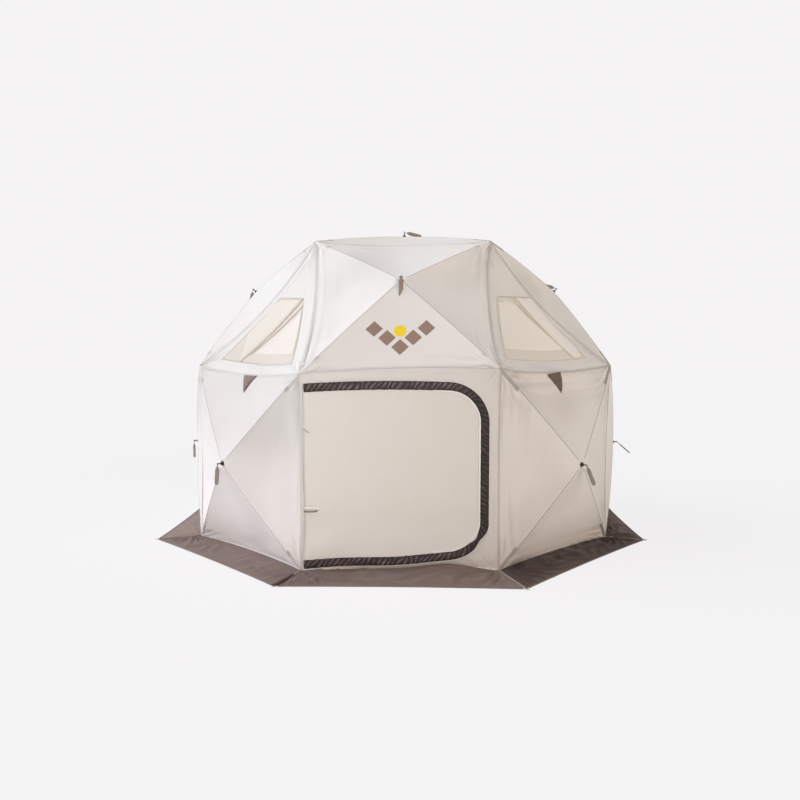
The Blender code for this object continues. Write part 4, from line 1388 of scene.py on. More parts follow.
# The window's insert, cover and film are lit and shaded copies: darker on the left gable's window, as
# painted shade, and lighter on the right one's, as painted light.
cream_cloth = woven("cream_window_cloth", CREAM_COLOUR, SHADED_CREAM_COLOUR, crinkle=INSERT_CRINKLE)
cover_cloth = woven("cream_cover_cloth", COVER_COLOUR, SHADED_COVER_COLOUR, crinkle=COVER_CRINKLE)
window_film = milky_film("milky_window_film", FILM_COLOUR, SHADED_FILM_COLOUR)
welt_tape = woven("cream_welt_cloth", WELT_COLOUR)
hem_tape = webbing("light_hem_tape", HEM_COLOUR)
for side, gable in gables.items():
    name = SIDES[side]
    with_window = side in WINDOW_GABLES
    mirrored = side == WINDOW_GABLES[1]
    shape = gable.cloth_shape()
    if with_window:
        hole = outline_on(gable, OTHER_INSERT_SHARES if mirrored else INSERT_SHARES, mirrored)
        sliced(shape, hole, keep_inside=False)
    gable.lay(shape)
    made = piece(f"gable_{name}_cloth", shape, shell_cloth, CLOTH)
    in_place_of(f"gable_{name}")
    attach(made, "shell")
    parts = []
    if with_window:
        insert = panel_on(gable, hole, -CLOTH / 2, PANEL_CROWN, PANEL_EDGE)
        parts.append(piece(f"window_insert_{name}", insert, cream_cloth, CLOTH))
        shares = OTHER_FILM_SHARES if mirrored else FILM_SHARES
        outline = outline_on(gable, shares, mirrored)
        film = panel_on(gable, outline, FILM_LIFT, PANEL_CROWN, PANEL_EDGE)
        film = piece(f"window_film_{name}", film, window_film, CLOTH)
        in_place_of(f"window_{name}")
        parts.append(film)
        shares = OTHER_COVER_SHARES if mirrored else COVER_SHARES
        outline = outline_on(gable, shares, mirrored)
        cover = panel_on(gable, outline, COVER_START, COVER_LIFT, COVER_EDGE)
        parts.append(piece(f"window_cover_{name}", cover, cover_cloth, CLOTH))
        welts, lines = bmesh.new(), bmesh.new()
        edges = [OTHER_WELT_SHARES if mirrored else WELT_SHARES]
        edges.append([shares[-1], shares[0]])
        for edge in edges:
            path = line_on(gable, as_seen(edge, mirrored), COVER_LIFT / 2)
            along_path(welts, path, gable.outwards, oval(WELT_WIDTH, WELT_HEIGHT, 8))
        for edge in OTHER_SEAM_SHARES if mirrored else SEAM_SHARES:
            path = line_on(gable, as_seen(edge, mirrored), 0)
            seam = oval(WINDOW_SEAM_WIDTH, WINDOW_SEAM_HEIGHT, 8)
            along_path(lines, path, gable.outwards, seam)
        parts.append(piece(f"window_welts_{name}", closed(welts), welt_tape))
        parts.append(piece(f"window_seams_{name}", closed(lines), hem_tape))
        for part in parts:
            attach(part, "shell")
        area = sum(one.cross(other) / 2 for one, other in zip(hole, hole[1:] + hole[:1]))
        wide = max(place.x for place in hole) - min(place.x for place in hole)
    whole = PANEL_SIDE * gable.height
    area = max(whole / 2 - (area if with_window else 0), LEAST_AREA * whole)

# The front wall: four strips of shell cloth sewn into a frame round the door opening, stretched
# between the two corner seams, the eave and the ground, with a turned hem at the opening.
DOOR_LEFT = -0.612
DOOR_RIGHT = 0.532
DOOR_TOP = 1.175
DOOR_SILL = 0.040
DOOR_RADIUS = 0.222
DOOR_ARCH = 0.018
DOOR_TOP_SLIP = 0.015
DOOR_FOOT_RISE = 0.066
DOOR_FOOT_REACH = 0.46
DOOR_FOOT_START = -0.12
DOOR_FOOT_WIDTH = 0.70
DOOR_FOOT_HEIGHT = 0.33
RUN_STEPS = 400
ARC_STEPS = 200
FOOT_LEAN_TOP = 0.30
FOOT_LEAN_REACH = 0.25
HEM_RISE = 0.031
HEM_RISE_START = -0.06
HEM_RISE_PEAK = 0.31
FRONT_STEPS = 150
FRONT_RINGS = 14
FRONT_KEEP = 0.028
FRONT_COLOUR = (252, 246, 245)
SHADED_FRONT_COLOUR = (220, 211, 205)
FRONT_HOLD = 0.045


def front_shift(x, z):
    """How far the front's cut is pulled up by the arch of the door and its slack lower corner."""
    share = (x - DOOR_LEFT) / (DOOR_RIGHT - DOOR_LEFT)
    arch = DOOR_ARCH * 4 * share * (1 - share)
    slip = DOOR_TOP_SLIP * ease((z - WALL_HEIGHT / 2) / (WALL_HEIGHT / 2))
    foot = ease((x - DOOR_FOOT_START) / DOOR_FOOT_WIDTH) * ease((DOOR_FOOT_REACH - z) / DOOR_FOOT_HEIGHT)
    return arch - slip + DOOR_FOOT_RISE * foot


def foot_out(x):
    """How far out from the wall's plane the front's floor seam is."""
    left, right = slipped(floor_corner(0)), slipped(floor_corner(1))
    share = (x - left.x) / (right.x - left.x)
    return -APOTHEM - on_seam(left, right, floor_bow(0), share).y


def front_lean(x, z):
    """How far the front's lower part leans out to its seam."""
    return max(foot_out(x), 0) * ease((FOOT_LEAN_TOP - z) / FOOT_LEAN_REACH)


def on_front(place, out=0.0):
    """A place of the front's flat cut, in the room, a way out from the wall."""
    lean = front_lean(place.x, place.y)
    return Vector((place.x, -APOTHEM - lean - out, place.y + front_shift(place.x, place.y)))


def hem_rise(x):
    """How far the front's lower seam is pulled off the ground."""
    half = PANEL_SIDE / 2
    rise = ease((x - HEM_RISE_START) / (HEM_RISE_PEAK - HEM_RISE_START))
    return HEM_RISE * rise * ease((half - x) / (half - HEM_RISE_PEAK))


def door_runs(inset):
    """The opening's outline as four runs from corner to corner, anticlockwise from below left."""
    left, right = DOOR_LEFT + inset, DOOR_RIGHT - inset
    low, high, radius = DOOR_SILL + inset, DOOR_TOP - inset, DOOR_RADIUS - inset
    centre = right - radius

    def line(start, end):
        return [Vector(start).lerp(Vector(end), step / RUN_STEPS) for step in range(RUN_STEPS + 1)]

    def arc(height, start, end):
        angles = [start + (end - start) * step / ARC_STEPS for step in range(ARC_STEPS + 1)]
        return [Vector((centre + radius * math.cos(a), height + radius * math.sin(a))) for a in angles]

    eighth = TURN / 8
    lower, upper = low + radius, high - radius
    bottom = line((left, low), (centre, low)) + arc(lower, -2 * eighth, -eighth)
    side = arc(lower, -eighth, 0) + line((right, lower), (right, upper)) + arc(upper, 0, eighth)
    top = arc(upper, eighth, 2 * eighth) + line((centre, high), (left, high))
    hinge = line((left, high), (left, low))
    return [bottom, side, top, hinge]


def evenly(points, count):
    """Evenly spaced places along a line of points, without its last one."""
    lengths = [(far - near).length for near, far in zip(points, points[1:])]
    whole, places, passed, index = sum(lengths), [], 0, 0
    for step in range(count):
        target = whole * step / count
        while index < len(lengths) - 1 and passed + lengths[index] < target:
            passed += lengths[index]
            index += 1
        share = (target - passed) / lengths[index] if lengths[index] else 0
        places.append(points[index].lerp(points[index + 1], share))
    return places


def door_loop(inset, count):
    """Points round the opening's outline, so many to each of its four runs."""
    return [on_front(place) for run in door_runs(inset) for place in evenly(run, count)]


front_corners = [floor_corner(0), floor_corner(1), eave_corner(1), eave_corner(0)]
front_bows = [floor_bow(0), corner_bow(1), eave_bow(0), corner_bow(0)]
front_cloth = Cloth([Vector((corner.x, corner.z)) for corner in front_corners], facing(0), 310)
border = []
for index, bow in enumerate(front_bows):
    start, end = slipped(front_corners[index]), slipped(front_corners[(index + 1) % 4])
    for step in range(FRONT_STEPS):
        point = on_seam(start, end, bow, step / FRONT_STEPS)
        border.append(point + UP * (hem_rise(point.x) if index == 0 else 0))
opening = door_loop(0, FRONT_STEPS)
shape = bmesh.new()
flat = shape.loops.layers.uv.new("cloth")
hem = shape.loops.layers.uv.new("hem")
rings = []
for step in range(FRONT_RINGS + 1):
    share = step / FRONT_RINGS
    rings.append([shape.verts.new(edge.lerp(inner, share)) for edge, inner in zip(border, opening)])
for outer, inner in zip(rings, rings[1:]):
    edges = []
    for ring in (outer, inner):
        for here, vert in enumerate(ring):
            edge = shape.edges.get((vert, ring[here - 1])) or shape.edges.new((vert, ring[here - 1]))
            edges.append(edge)
    bmesh.ops.bridge_loops(shape, edges=edges)
looking(shape, facing(0))
for ring_index, ring in enumerate(rings):
    for here, vert in enumerate(ring):
        spot = Vector((vert.co.x, vert.co.z))
        to_opening = (vert.co - opening[here]).length
        run, inset = front_cloth.beside_seam(spot)
        mapped(vert, (flat, spot), (hem, (run, min(max(inset, 0), to_opening))))
        hold = ease(ring_index / 1.5) * ease((to_opening - FRONT_KEEP) / FRONT_HOLD)
        vert.co = vert.co + facing(0) * front_cloth.folds(spot) * hold
# The front wall's cloth fades from lighter on the left, painted light, to darker on the right, painted
# shade.
front_wall_cloth = woven("cream_front_cloth", FRONT_COLOUR, SHADED_FRONT_COLOUR)
front_wall = piece("front_wall_cloth", shape, front_wall_cloth, CLOTH)
in_place_of("door_wall")
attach(front_wall, "shell")

# The door: one sheet of beige cloth that closes the opening, sewn down its left edge and zipped round
# the rest, so it pulls into soft folds along the zip.
DOOR_GAP = 0.0015
DOOR_NET = 96
DOOR_FOLD = 0.0045
DOOR_PUCKER = 0.0026
DOOR_KEEP = 0.020
DOOR_HOLD = 0.030
DOOR_COLOUR = (252, 246, 243)
SHADED_DOOR_COLOUR = (224, 214, 205)
DOOR_LIT_FOOT_TOP = 0.34
DOOR_CRINKLE = 0.0007
DOOR_SLACK = 0.0018
DOOR_RUN_STEPS = 24


def hinged(made):
    """Bakes the place of a piece on the door into its mesh."""
    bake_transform(made)


def door_folds(spot, inset, run):
    """Broad folds, pulls along the zip and slack between them."""
    broad = uneven(spot.x * 1.6, spot.y * 1.1, 401) + 0.5 * uneven(spot.x * 4.2, spot.y * 2.6, 402)
    pull = uneven(run / 0.045, inset * 5, 403) * math.exp(-inset / 0.07)
    slack = uneven((spot.x + spot.y) * 3.2, (spot.x - spot.y) * 9, 404) * math.exp(-inset / 0.25)
    lift = DOOR_FOLD * broad + DOOR_PUCKER * pull + DOOR_SLACK * slack
    return lift * ease((inset - DOOR_KEEP) / DOOR_HOLD)


def door_shade(cloth):
    """The door's painted shade: it darkens to the right, less so at its foot, which is painted lighter, as
    light.
    """
    x, _, z = cloth.parts(cloth.solid_place())
    foot = (z * (-1 / DOOR_LIT_FOOT_TOP) + 1).either(z * 0)
    return x * (1 / LIGHT_AND_SHADE_REACH) + 0.5 - foot * 0.6


door_cloth = woven("beige_door_cloth", DOOR_COLOUR, SHADED_DOOR_COLOUR, crinkle=DOOR_CRINKLE, fade=door_shade)
outline = [place for run in door_runs(DOOR_GAP) for place in evenly(run, DOOR_RUN_STEPS)]
straight = [outline[0]]
for before, here, after in zip(outline, outline[1:], outline[2:] + outline[:1]):
    if (here - before).normalized().cross((after - here).normalized()) > 0.01:
        straight.append(here)
door_sheet = Cloth(straight, facing(0), 420)
shape = bmesh.new()
width, height = DOOR_RIGHT - DOOR_LEFT, DOOR_TOP - DOOR_SILL
middle = Vector(((DOOR_LEFT + DOOR_RIGHT) / 2, (DOOR_TOP + DOOR_SILL) / 2, 0))
bmesh.ops.create_grid(
    shape, x_segments=DOOR_NET, y_segments=DOOR_NET, size=0.5, matrix=Matrix.Translation(middle)
)
for vert in shape.verts:
    vert.co.x = middle.x + (vert.co.x - middle.x) * width
    vert.co.y = middle.y + (vert.co.y - middle.y) * height
sliced(shape, straight, keep_inside=True)
flat = shape.loops.layers.uv.new("cloth")
hem = shape.loops.layers.uv.new("hem")
for vert in shape.verts:
    spot = vert.co.to_2d()
    run, inset = door_sheet.beside_seam(spot)
    mapped(vert, (flat, spot), (hem, (run, inset)))
    lift = door_folds(spot, inset, run)
    vert.co = on_front(spot, lift)
door = piece("door_cloth", shape, door_cloth, CLOTH)
in_place_of("door_panel")
hinged(door)

# The band over the door's zip: dark brown cloth gathered on its two edges, so that it ruffles all the
# way round from the hinge side's top to its foot. It is sewn to the door.
BAND_WIDTH = 0.056
BAND_RISE = 0.0075
BAND_GAP = 0.0006
BAND_HINGE_GAP = 0.001
BAND_PITCH = 0.0026
BAND_ROWS = 20
PLEAT_PITCH = 0.017
PLEAT_HEIGHT = 0.0078
PLEAT_SLANT = 1.5
BAND_PINCH = (0.478, 0.142)
BAND_PINCH_REACH = 0.045
BAND_VALLEY = 0.0035
BAND_CREST = 0.0100
BAND_COLOUR = (38, 28, 28)
BAND_HIGHLIGHT_COLOUR = (124, 110, 110)
SHADED_BAND_COLOUR = (24, 16, 17)
SHADED_BAND_HIGHLIGHT_COLOUR = (76, 60, 60)
BAND_SHADE_START = 0.34
BAND_SHADE_REACH = 0.14
BAND_LEAST_RISE = 0.0012
BAND_FINE_RISE = 0.0012
BAND_THREAD_PITCH = 0.0011
BAND_THREAD_DEPTH = 0.00002
BAND_CREASE_SIZE = 0.02
BAND_CREASE_SCALES = (0.6, 2.6, 1.0)
BAND_CREASE_DEPTH = 0.0018


def zip_line():
    """The zip's line, dense, from the hinge's foot round the free side to the hinge's top."""
    bottom, side, top, hinge = door_runs(0)
    line = bottom + side[1:] + top[1:]
    line = [place for place in line if place.x >= DOOR_LEFT + BAND_HINGE_GAP]
    length = sum((far - near).length for near, far in zip(line, line[1:]))
    return [on_front(place) for place in evenly(line, round(length / BAND_PITCH))]


def band_rings():
    """The band's sections, each a row of pleated cloth over a plain back, and the line they follow."""
    line = zip_line()
    pinch = on_front(Vector(BAND_PINCH))
    rings = []
    for index, point in enumerate(line):
        along = line[min(index + 1, len(line) - 1)] - line[max(index - 1, 0)]
        across = along.cross(facing(0)).normalized()
        run = BAND_PITCH * index
        gather = uneven(run * 11, 0, 501)
        tight = math.exp(-(((point - pinch).length / BAND_PINCH_REACH) ** 2))
        half = BAND_WIDTH / 2 * (0.97 + 0.07 * uneven(run * 30, 0, 502) - 0.55 * tight)
        top, foot = [], []
        for row in range(BAND_ROWS + 1):
            share = 2 * row / BAND_ROWS - 1
            slant = PLEAT_SLANT * share * (0.8 + 0.6 * gather)
            wander = 1.1 * uneven(run * 13, share * 0.4, 503)
            pleat = crest((run / PLEAT_PITCH + slant + wander) / 2)
            strength = 0.35 + 0.9 * max(uneven(run * 17, share * 0.8, 506) + 0.3, 0)
            fine = crest((run / PLEAT_PITCH * 2.7 + 1.3 * slant + 1.5 * uneven(run * 29, share, 504)) / 2)
            flat_edge = 1 - 0.85 * share**8
            height = BAND_RISE * (1 - share**4) * 0.5
            height += (PLEAT_HEIGHT * (0.5 + 0.5 * pleat) * strength + BAND_FINE_RISE * fine) * flat_edge
            place = point + across * half * share
            top.append(place + facing(0) * (BAND_GAP + max(height, BAND_LEAST_RISE)))
            foot.append(place + facing(0) * BAND_GAP)
        rings.append(top + list(reversed(foot))[:: BAND_ROWS // 2])
    return rings, line


def gathered_cloth(name, colour, highlight_colour):
    """Dark cloth with the sheen of many small creases. The crests of its pleats are painted lighter, as
    highlights, and their valleys darker, as shade, and it turns darker to the right, as painted shade.
    """
    cloth = Finish(name, colour, 0.55, Sheen_Weight=0.15, Specular_IOR_Level=0.35)
    place = cloth.flat_place()
    x, y, _ = cloth.parts(place)
    threads = (x * (TURN / BAND_THREAD_PITCH)).sine() * (y * (TURN / BAND_THREAD_PITCH)).sine()
    creases = cloth.speckle(cloth.stretched(place, BAND_CREASE_SCALES), BAND_CREASE_SIZE, 5.0, 0.6)
    proud = cloth.parts(cloth.flat_place("folds"))[0]
    painted_highlight = proud + creases * 0.5 - 0.25
    base = cloth.mix(painted_highlight, linear(colour), linear(highlight_colour))
    shaded = cloth.mix(painted_highlight, linear(SHADED_BAND_COLOUR), linear(SHADED_BAND_HIGHLIGHT_COLOUR))
    x = cloth.parts(cloth.solid_place())[0]
    base = cloth.mix((x - BAND_SHADE_START) * (1 / BAND_SHADE_REACH), base, shaded)
    relief = cloth.bump(creases, BAND_CREASE_DEPTH, cloth.bump(threads, BAND_THREAD_DEPTH))
    cloth.shade(Base_Color=base, Normal=relief)
    return cloth


band_cloth = gathered_cloth("dark_band_cloth", BAND_COLOUR, BAND_HIGHLIGHT_COLOUR)
rings, line = band_rings()
shape = closed(ringed(bmesh.new(), rings))
# How proud the band is at each place, which its painted highlights follow.
folded = shape.loops.layers.uv.new("folds")
for vert in shape.verts:
    rise = -vert.co.y - APOTHEM - front_lean(vert.co.x, vert.co.z)
    mapped(vert, (folded, ((rise - BAND_VALLEY) / (BAND_CREST - BAND_VALLEY), 0)))
band = piece("zip_band_cloth", shape, band_cloth)
in_place_of("storm_band")
hinged(band)

# The hems beside the band: a light tape turned over the front wall's edge, and piping on the door's
# curved edge, sewn in with the band.
HEM_WIDTH = 0.007
HEM_HEIGHT = 0.0022
ZIP_PIPING_WIDTH = 0.010
PIPED_FROM = 0.20
FOOT_HEM_WIDTH = 0.013
FOOT_HEM_HEIGHT = 0.0050
FOOT_STEPS = 60
FOOT_HEM_COLOUR = (254, 249, 246)
HEM_LIFT = 0.001
HEM_RUFFLE = 0.0014
HEM_START = 0.01
HEM_RUN_STEPS = 90
PIPING_LIFT = 0.003
PIPING_WAVER = 0.0012
PIPING_INSET_SHARE = 0.3
ZIP_PIPING_HEIGHT = 0.004
shape = bmesh.new()
loop = door_loop(-BAND_WIDTH / 2 - HEM_WIDTH / 2, HEM_RUN_STEPS)
path = [point for point in loop if point.x > DOOR_LEFT + HEM_START]
start = min(range(len(path)), key=lambda index: path[index].x + path[index].z)
path = path[start:] + path[:start]
ruffled = []
for index, point in enumerate(path):
    ruffle = UP * HEM_RUFFLE * uneven(index * 0.9, 0, 520)
    ruffled.append(point + ruffle + facing(0) * HEM_LIFT)
along_path(shape, ruffled, facing(0), oval(HEM_WIDTH, HEM_HEIGHT, 8))
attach(piece("opening_hem_tape", closed(shape), hem_tape), "shell")
foot_tape = webbing("white_foot_hem", FOOT_HEM_COLOUR)
shape = bmesh.new()
foot_hem = oval(FOOT_HEM_WIDTH, FOOT_HEM_HEIGHT, 8)
lift = UP * (FOOT_HEM_WIDTH / 2) + facing(0) * HEM_LIFT
path = [point + lift for point in border[:FRONT_STEPS]]
along_path(shape, path, facing(0), foot_hem)
for square in squares:
    if square.name in SIDES:
        reach = 1 - FOOT_HEM_WIDTH / 2 / square.corners[0].length
        path = [square.out_from_hub(0, reach, step / FOOT_STEPS) for step in range(FOOT_STEPS + 1)]
        along_path(shape, path, square.outwards - UP, foot_hem)
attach(piece("foot_hem_tape", closed(shape), foot_tape), "shell")
shape = bmesh.new()
path = []
inset = BAND_WIDTH / 2 + ZIP_PIPING_WIDTH * PIPING_INSET_SHARE
for index, point in enumerate(door_loop(inset, HEM_RUN_STEPS)):
    if point.x > PIPED_FROM:
        waver = PIPING_WAVER * uneven(index * 0.4, 0, 530)
        path.append(point + facing(0) * (PIPING_LIFT + abs(waver)) + Vector((waver, 0, waver)))
along_path(shape, path, facing(0), oval(ZIP_PIPING_WIDTH, ZIP_PIPING_HEIGHT, 8))
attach(piece("door_piping", closed(shape), foot_tape), "door")

# The ties that hold the rolled-up door: a white toggle bar and its two elastic loops, sewn to the
# door's hinge side. The loops' dark grey is painted shade under the bar.
TIE_HEIGHTS = (0.389, 0.915)
TIE_LENGTHS = (0.088, 0.038)
TIE_GAPS = (0.024, 0.014)
TIE_WIDTHS = (0.013, 0.0045)
TIE_DROOPS = (0.001, 0.034)
TIE_LIFT = 0.010
TIE_START = 0.001
TIE_OUT = 0.004
TIE_THICKNESS = 0.004
TIE_PITCH = 0.0012
TIE_STEPS = 16
TIE_COLOUR = (254, 252, 251)
TIE_LOOP_SHADE_COLOUR = (128, 116, 110)
tie_tape = webbing("white_tie_tape", TIE_COLOUR, pitch=TIE_PITCH)
tie_loop_shade_tape = webbing("grey_tie_loops", TIE_LOOP_SHADE_COLOUR, pitch=TIE_PITCH)
bars, loops = bmesh.new(), bmesh.new()
for height, length, gap, width, droop in zip(TIE_HEIGHTS, TIE_LENGTHS, TIE_GAPS, TIE_WIDTHS, TIE_DROOPS):
    for half in (-1, 1):
        path = []
        for step in range(TIE_STEPS + 1):
            share = step / TIE_STEPS
            side = half * gap / 2 * math.sqrt(max(1 - share**10, 0))
            place = Vector((DOOR_LEFT + TIE_START + length * share, height + side - droop * share**1.2))
            bulge = TIE_LIFT * math.sin(math.pi * (0.12 + 0.8 * share))
            path.append(on_front(place, TIE_OUT + bulge) - UP * front_shift(place.x, place.y))
        shape = bars if half > 0 else loops
        outline = oval(width * (0.9 + 0.3 * half), TIE_THICKNESS, 8)
        along_path(shape, path, facing(0), outline)
hinged(piece("door_ties", closed(bars), tie_tape))
hinged(piece("door_tie_loops", closed(loops), tie_loop_shade_tape))

# The seams between the sheets: narrow bindings of the shell's cloth, grey along the corners, eaves and
# gables, where two rows of piping run side by side, and plain along the roof. Their grey deepens from
# left to right, as painted shade.
BINDING_WIDTH = 0.0050
BINDING_HEIGHT = 0.0030
INNER_PIPING_WIDTH = 0.0036
SEAM_STEPS = 60
GABLE_PIPING_APART = 0.019
GABLE_PIPING_TOP_SHARE = 0.985
ROOF_PIPING_WIDTH = 0.004
ROOF_PIPING_HEIGHT = 0.0022
BINDING_COLOUR = (230, 225, 222)
SHADED_BINDING_COLOUR = (190, 182, 174)
binding_tape = webbing("grey_seam_binding", BINDING_COLOUR, SHADED_BINDING_COLOUR)


def seam_path(start, end, bow, steps=SEAM_STEPS):
    """A bowed seam between two corners as they lie."""
    start, end = slipped(start), slipped(end)
    return [on_seam(start, end, bow, step / steps) for step in range(steps + 1)]


corner_bindings, eave_bindings = bmesh.new(), bmesh.new()
binding = oval(BINDING_WIDTH, BINDING_HEIGHT, 10)
for side in range(len(SIDES)):
    out = facing(side - 0.5)
    path = seam_path(floor_corner(side), eave_corner(side), corner_bow(side))
    along_path(corner_bindings, path, out, binding)
    level = (facing(side) + UP * 0.4).normalized()
    path = seam_path(eave_corner(side), eave_corner(side + 1), eave_bow(side))
    along_path(eave_bindings, path, level, binding)
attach(piece("corner_bindings", closed(corner_bindings), binding_tape), "shell")
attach(piece("eave_bindings", closed(eave_bindings), binding_tape), "shell")
gable_piping, roof_piping = bmesh.new(), bmesh.new()
for side, gable in gables.items():
    left, right, top = gable.points
    for foot, edge in ((left, 0), (right, 1)):
        path = seam_path(foot, top, gable_bow(side))
        along_path(gable_piping, path, gable.outwards, binding)
        inner = []
        for step in range(SEAM_STEPS + 1):
            up = step / SEAM_STEPS
            wide = max((1 - up) * PANEL_SIDE, MERGE_WITHIN)
            inset = min(GABLE_PIPING_APART / wide, 0.5)
            spot = gable.at(inset if edge == 0 else 1 - inset, min(up, GABLE_PIPING_TOP_SHARE))
            inner.append(gable.place(spot) + gable.outwards * gable.folds(spot))
        fine = oval(INNER_PIPING_WIDTH, INNER_PIPING_WIDTH, 8)
        along_path(gable_piping, inner, gable.outwards, fine)
for side in range(0, len(SIDES), 2):
    path = seam_path(roof_corner(side - 1), roof_corner(side + 1), roof_bow(side))
    lean = (normal_of(slope_corners(side)) + UP).normalized()
    along_path(roof_piping, path, lean, oval(ROOF_PIPING_WIDTH, ROOF_PIPING_HEIGHT, 8))
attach(piece("gable_piping", closed(gable_piping), binding_tape), "shell")
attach(piece("roof_seams", closed(roof_piping), hem_tape), "shell")

# The skirt: eight pieces of brown coated polyester that lie on the ground round the walls, joined by
# bound seams at the corners, hemmed along the outside, with a loop for a peg at each corner.
SKIRT_WIDTH = 0.29
SKIRT_BOW = 0.015
SKIRT_COLUMNS = 150
SKIRT_ROWS = 34
SKIRT_HOLD = 0.05
SKIRT_RISE = 0.003
SKIRT_RISE_REACH = 0.06
SKIRT_FAN = 0.022
SKIRT_FAN_CRESTS = 5.2
SKIRT_FAN_REACH = 0.42
SKIRT_DRAG = 0.028
SKIRT_DRAG_SIZE = (0.30, 0.055)
SKIRT_EDGE = 0.04
SKIRT_SEWN = 0.16
SKIRT_EASE = 3.2
SKIRT_BINDING_WIDTH = 0.015
SKIRT_FOLD_WIDTH = 0.033
SKIRT_FOLD = ((-0.35, 0), (-0.3, 0.006), (0.5, 0.009), (0.65, 0.004), (0.65, 0))
SKIRT_FOLD_LIFT = 0.003
SKIRT_FOLD_SPAN = (0.30, 0.69)
SKIRT_BINDING_HEIGHT = 0.005
SKIRT_BINDING_LIFT = 0.0015
SKIRT_HEM_WIDTH = 0.011
SKIRT_HEM_HEIGHT = 0.0032
SKIRT_HEM_LIFT = 0.0006
SKIRT_HEM_SHARE = 0.985
SKIRT_MERGE = 0.0002
SKIRT_CRINKLE = 0.0011
SKIRT_TRIM_STEPS = 24
PEG_LOOP = 0.021
PEG_LOOP_LIFT = 0.004
PEG_LOOP_WIDTH = 0.011
PEG_LOOP_HEIGHT = 0.004
PEG_LOOP_STEPS = 12
SKIRT_COLOUR = (151, 128, 120)
SHADED_SKIRT_COLOUR = (65, 46, 41)
SKIRT_SHADES = (0.70, 0.96, 0.80, 0.55, 0.50, 0.50, 0.14, 0.50)
SKIRT_FRONT_FADE = 0.34
SKIRT_CALMS = {6: 0.35, 7: 0.6}
SKIRT_HEM_COLOUR = (128, 110, 104)
SKIRT_BINDING_COLOUR = (122, 105, 99)
SKIRT_FOLD_SHADOW_COLOUR = (70, 56, 51)
LIT_SKIRT_BINDING_COLOUR = (168, 154, 146)
SKIRT_TIP_SLIPS = {
    0: Vector((0.003, -0.064, 0)),
    1: Vector((0.008, -0.081, 0)),
    2: Vector((-0.030, 0.030, 0)),
    7: Vector((0, -0.030, 0)),
}
LOOP_COLOUR = (232, 226, 222)


def skirt_tip(side, reach):
    """The skirt's outer corner to the left of a side, as it lies."""
    still = Vector((0, 0, 0))
    return floor_corner(side) * reach + SKIRT_TIP_SLIPS.get(side, still)


def skirt_place(side, along, out):
    """A place of the skirt before its folds: along its side, and out from the wall."""
    corners = [slipped(floor_corner(end % len(SIDES))) for end in (side, side + 1)]
    near = on_seam(*corners, floor_bow(side), along)
    if side == 0:
        near += UP * hem_rise(near.x)
    reach = (APOTHEM + SKIRT_WIDTH) / APOTHEM
    far_bow = facing(side) * -SKIRT_BOW
    tips = [skirt_tip(end % len(SIDES), reach) for end in (side, side + 1)]
    far = on_seam(*tips, far_bow, along)
    return near.lerp(far, out)


def skirt_folds(side, along, out):
    """Folds that spread from the corners and run slanting across the skirt."""
    run, depth = along * PANEL_SIDE, out * SKIRT_WIDTH
    lift = 0
    for end, away in ((0, run), (1, PANEL_SIDE - run)):
        far = math.hypot(away, depth)
        turn = math.atan2(depth, away)
        waver = 1.4 * uneven(turn * 2.5, far * 4, 602 + 2 * side + end)
        strength = far / SKIRT_FAN_REACH * math.exp(1 - 2.2 * far / SKIRT_FAN_REACH)
        lift += SKIRT_FAN * strength * (1 + crest(turn * SKIRT_FAN_CRESTS + waver))
    long, wide = SKIRT_DRAG_SIZE
    lean = 0.9 * uneven(along * 2.5, 0, 640 + side)
    drag = uneven((run + depth * lean) / wide, depth / long, 660 + side)
    soft = uneven(run / long, depth / long * 1.6, 680 + side)
    lift += SKIRT_DRAG * max(0.55 * drag + soft, 0) * ease(out * 2.5)
    lift *= SKIRT_CALMS.get(side, 1) * ease(out / SKIRT_SEWN + 0.1)
    return lift * (SKIRT_EDGE + (1 - SKIRT_EDGE) * ease((1 - out) * SKIRT_EASE))


def skirt_shade(cloth):
    """How much painted shade each side's piece of the skirt has: most beside the front right and right
    walls, least on the left, and less towards the front's right end.
    """
    side = cloth.parts(cloth.flat_place())[0] * (1 / PANEL_SIDE)
    share = side * 0 + SKIRT_SHADES[0]
    for index, (before, after) in enumerate(zip(SKIRT_SHADES, SKIRT_SHADES[1:])):
        share = share + (side > index + 1) * (after - before)
    return share + (side < 1) * side * -SKIRT_FRONT_FADE


def on_skirt(side, along, out):
    """A place of the skirt's upper face."""
    rise = SKIRT_RISE * math.exp(-out * SKIRT_WIDTH / SKIRT_RISE_REACH)
    ends = ease(min(along, 1 - along) / SKIRT_HOLD)
    lift = CLOTH + rise + skirt_folds(side, along, out) * ends
    return skirt_place(side, along, out) + UP * lift


skirt_cloth = woven(
    "brown_skirt_cloth",
    SKIRT_COLOUR,
    SHADED_SKIRT_COLOUR,
    crinkle=SKIRT_CRINKLE,
    roughness=0.7,
    fade=skirt_shade,
)
shape = bmesh.new()
flat = shape.loops.layers.uv.new("cloth")
hem = shape.loops.layers.uv.new("hem")
for side in range(len(SIDES)):
    made = bmesh.ops.create_grid(shape, x_segments=SKIRT_COLUMNS, y_segments=SKIRT_ROWS, size=0.5)["verts"]
    for vert in made:
        along, out = vert.co.x + 0.5, vert.co.y + 0.5
        spot = (along * PANEL_SIDE + side * PANEL_SIDE, out * SKIRT_WIDTH)
        mapped(vert, (flat, spot), (hem, (along * PANEL_SIDE, (1 - out) * SKIRT_WIDTH)))
        vert.co = on_skirt(side, along, out)
bmesh.ops.remove_doubles(shape, verts=shape.verts[:], dist=SKIRT_MERGE)
looking(shape, UP)
skirt = piece("skirt_cloth", shape, skirt_cloth, CLOTH)
in_place_of("skirt")
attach(skirt, "shell")
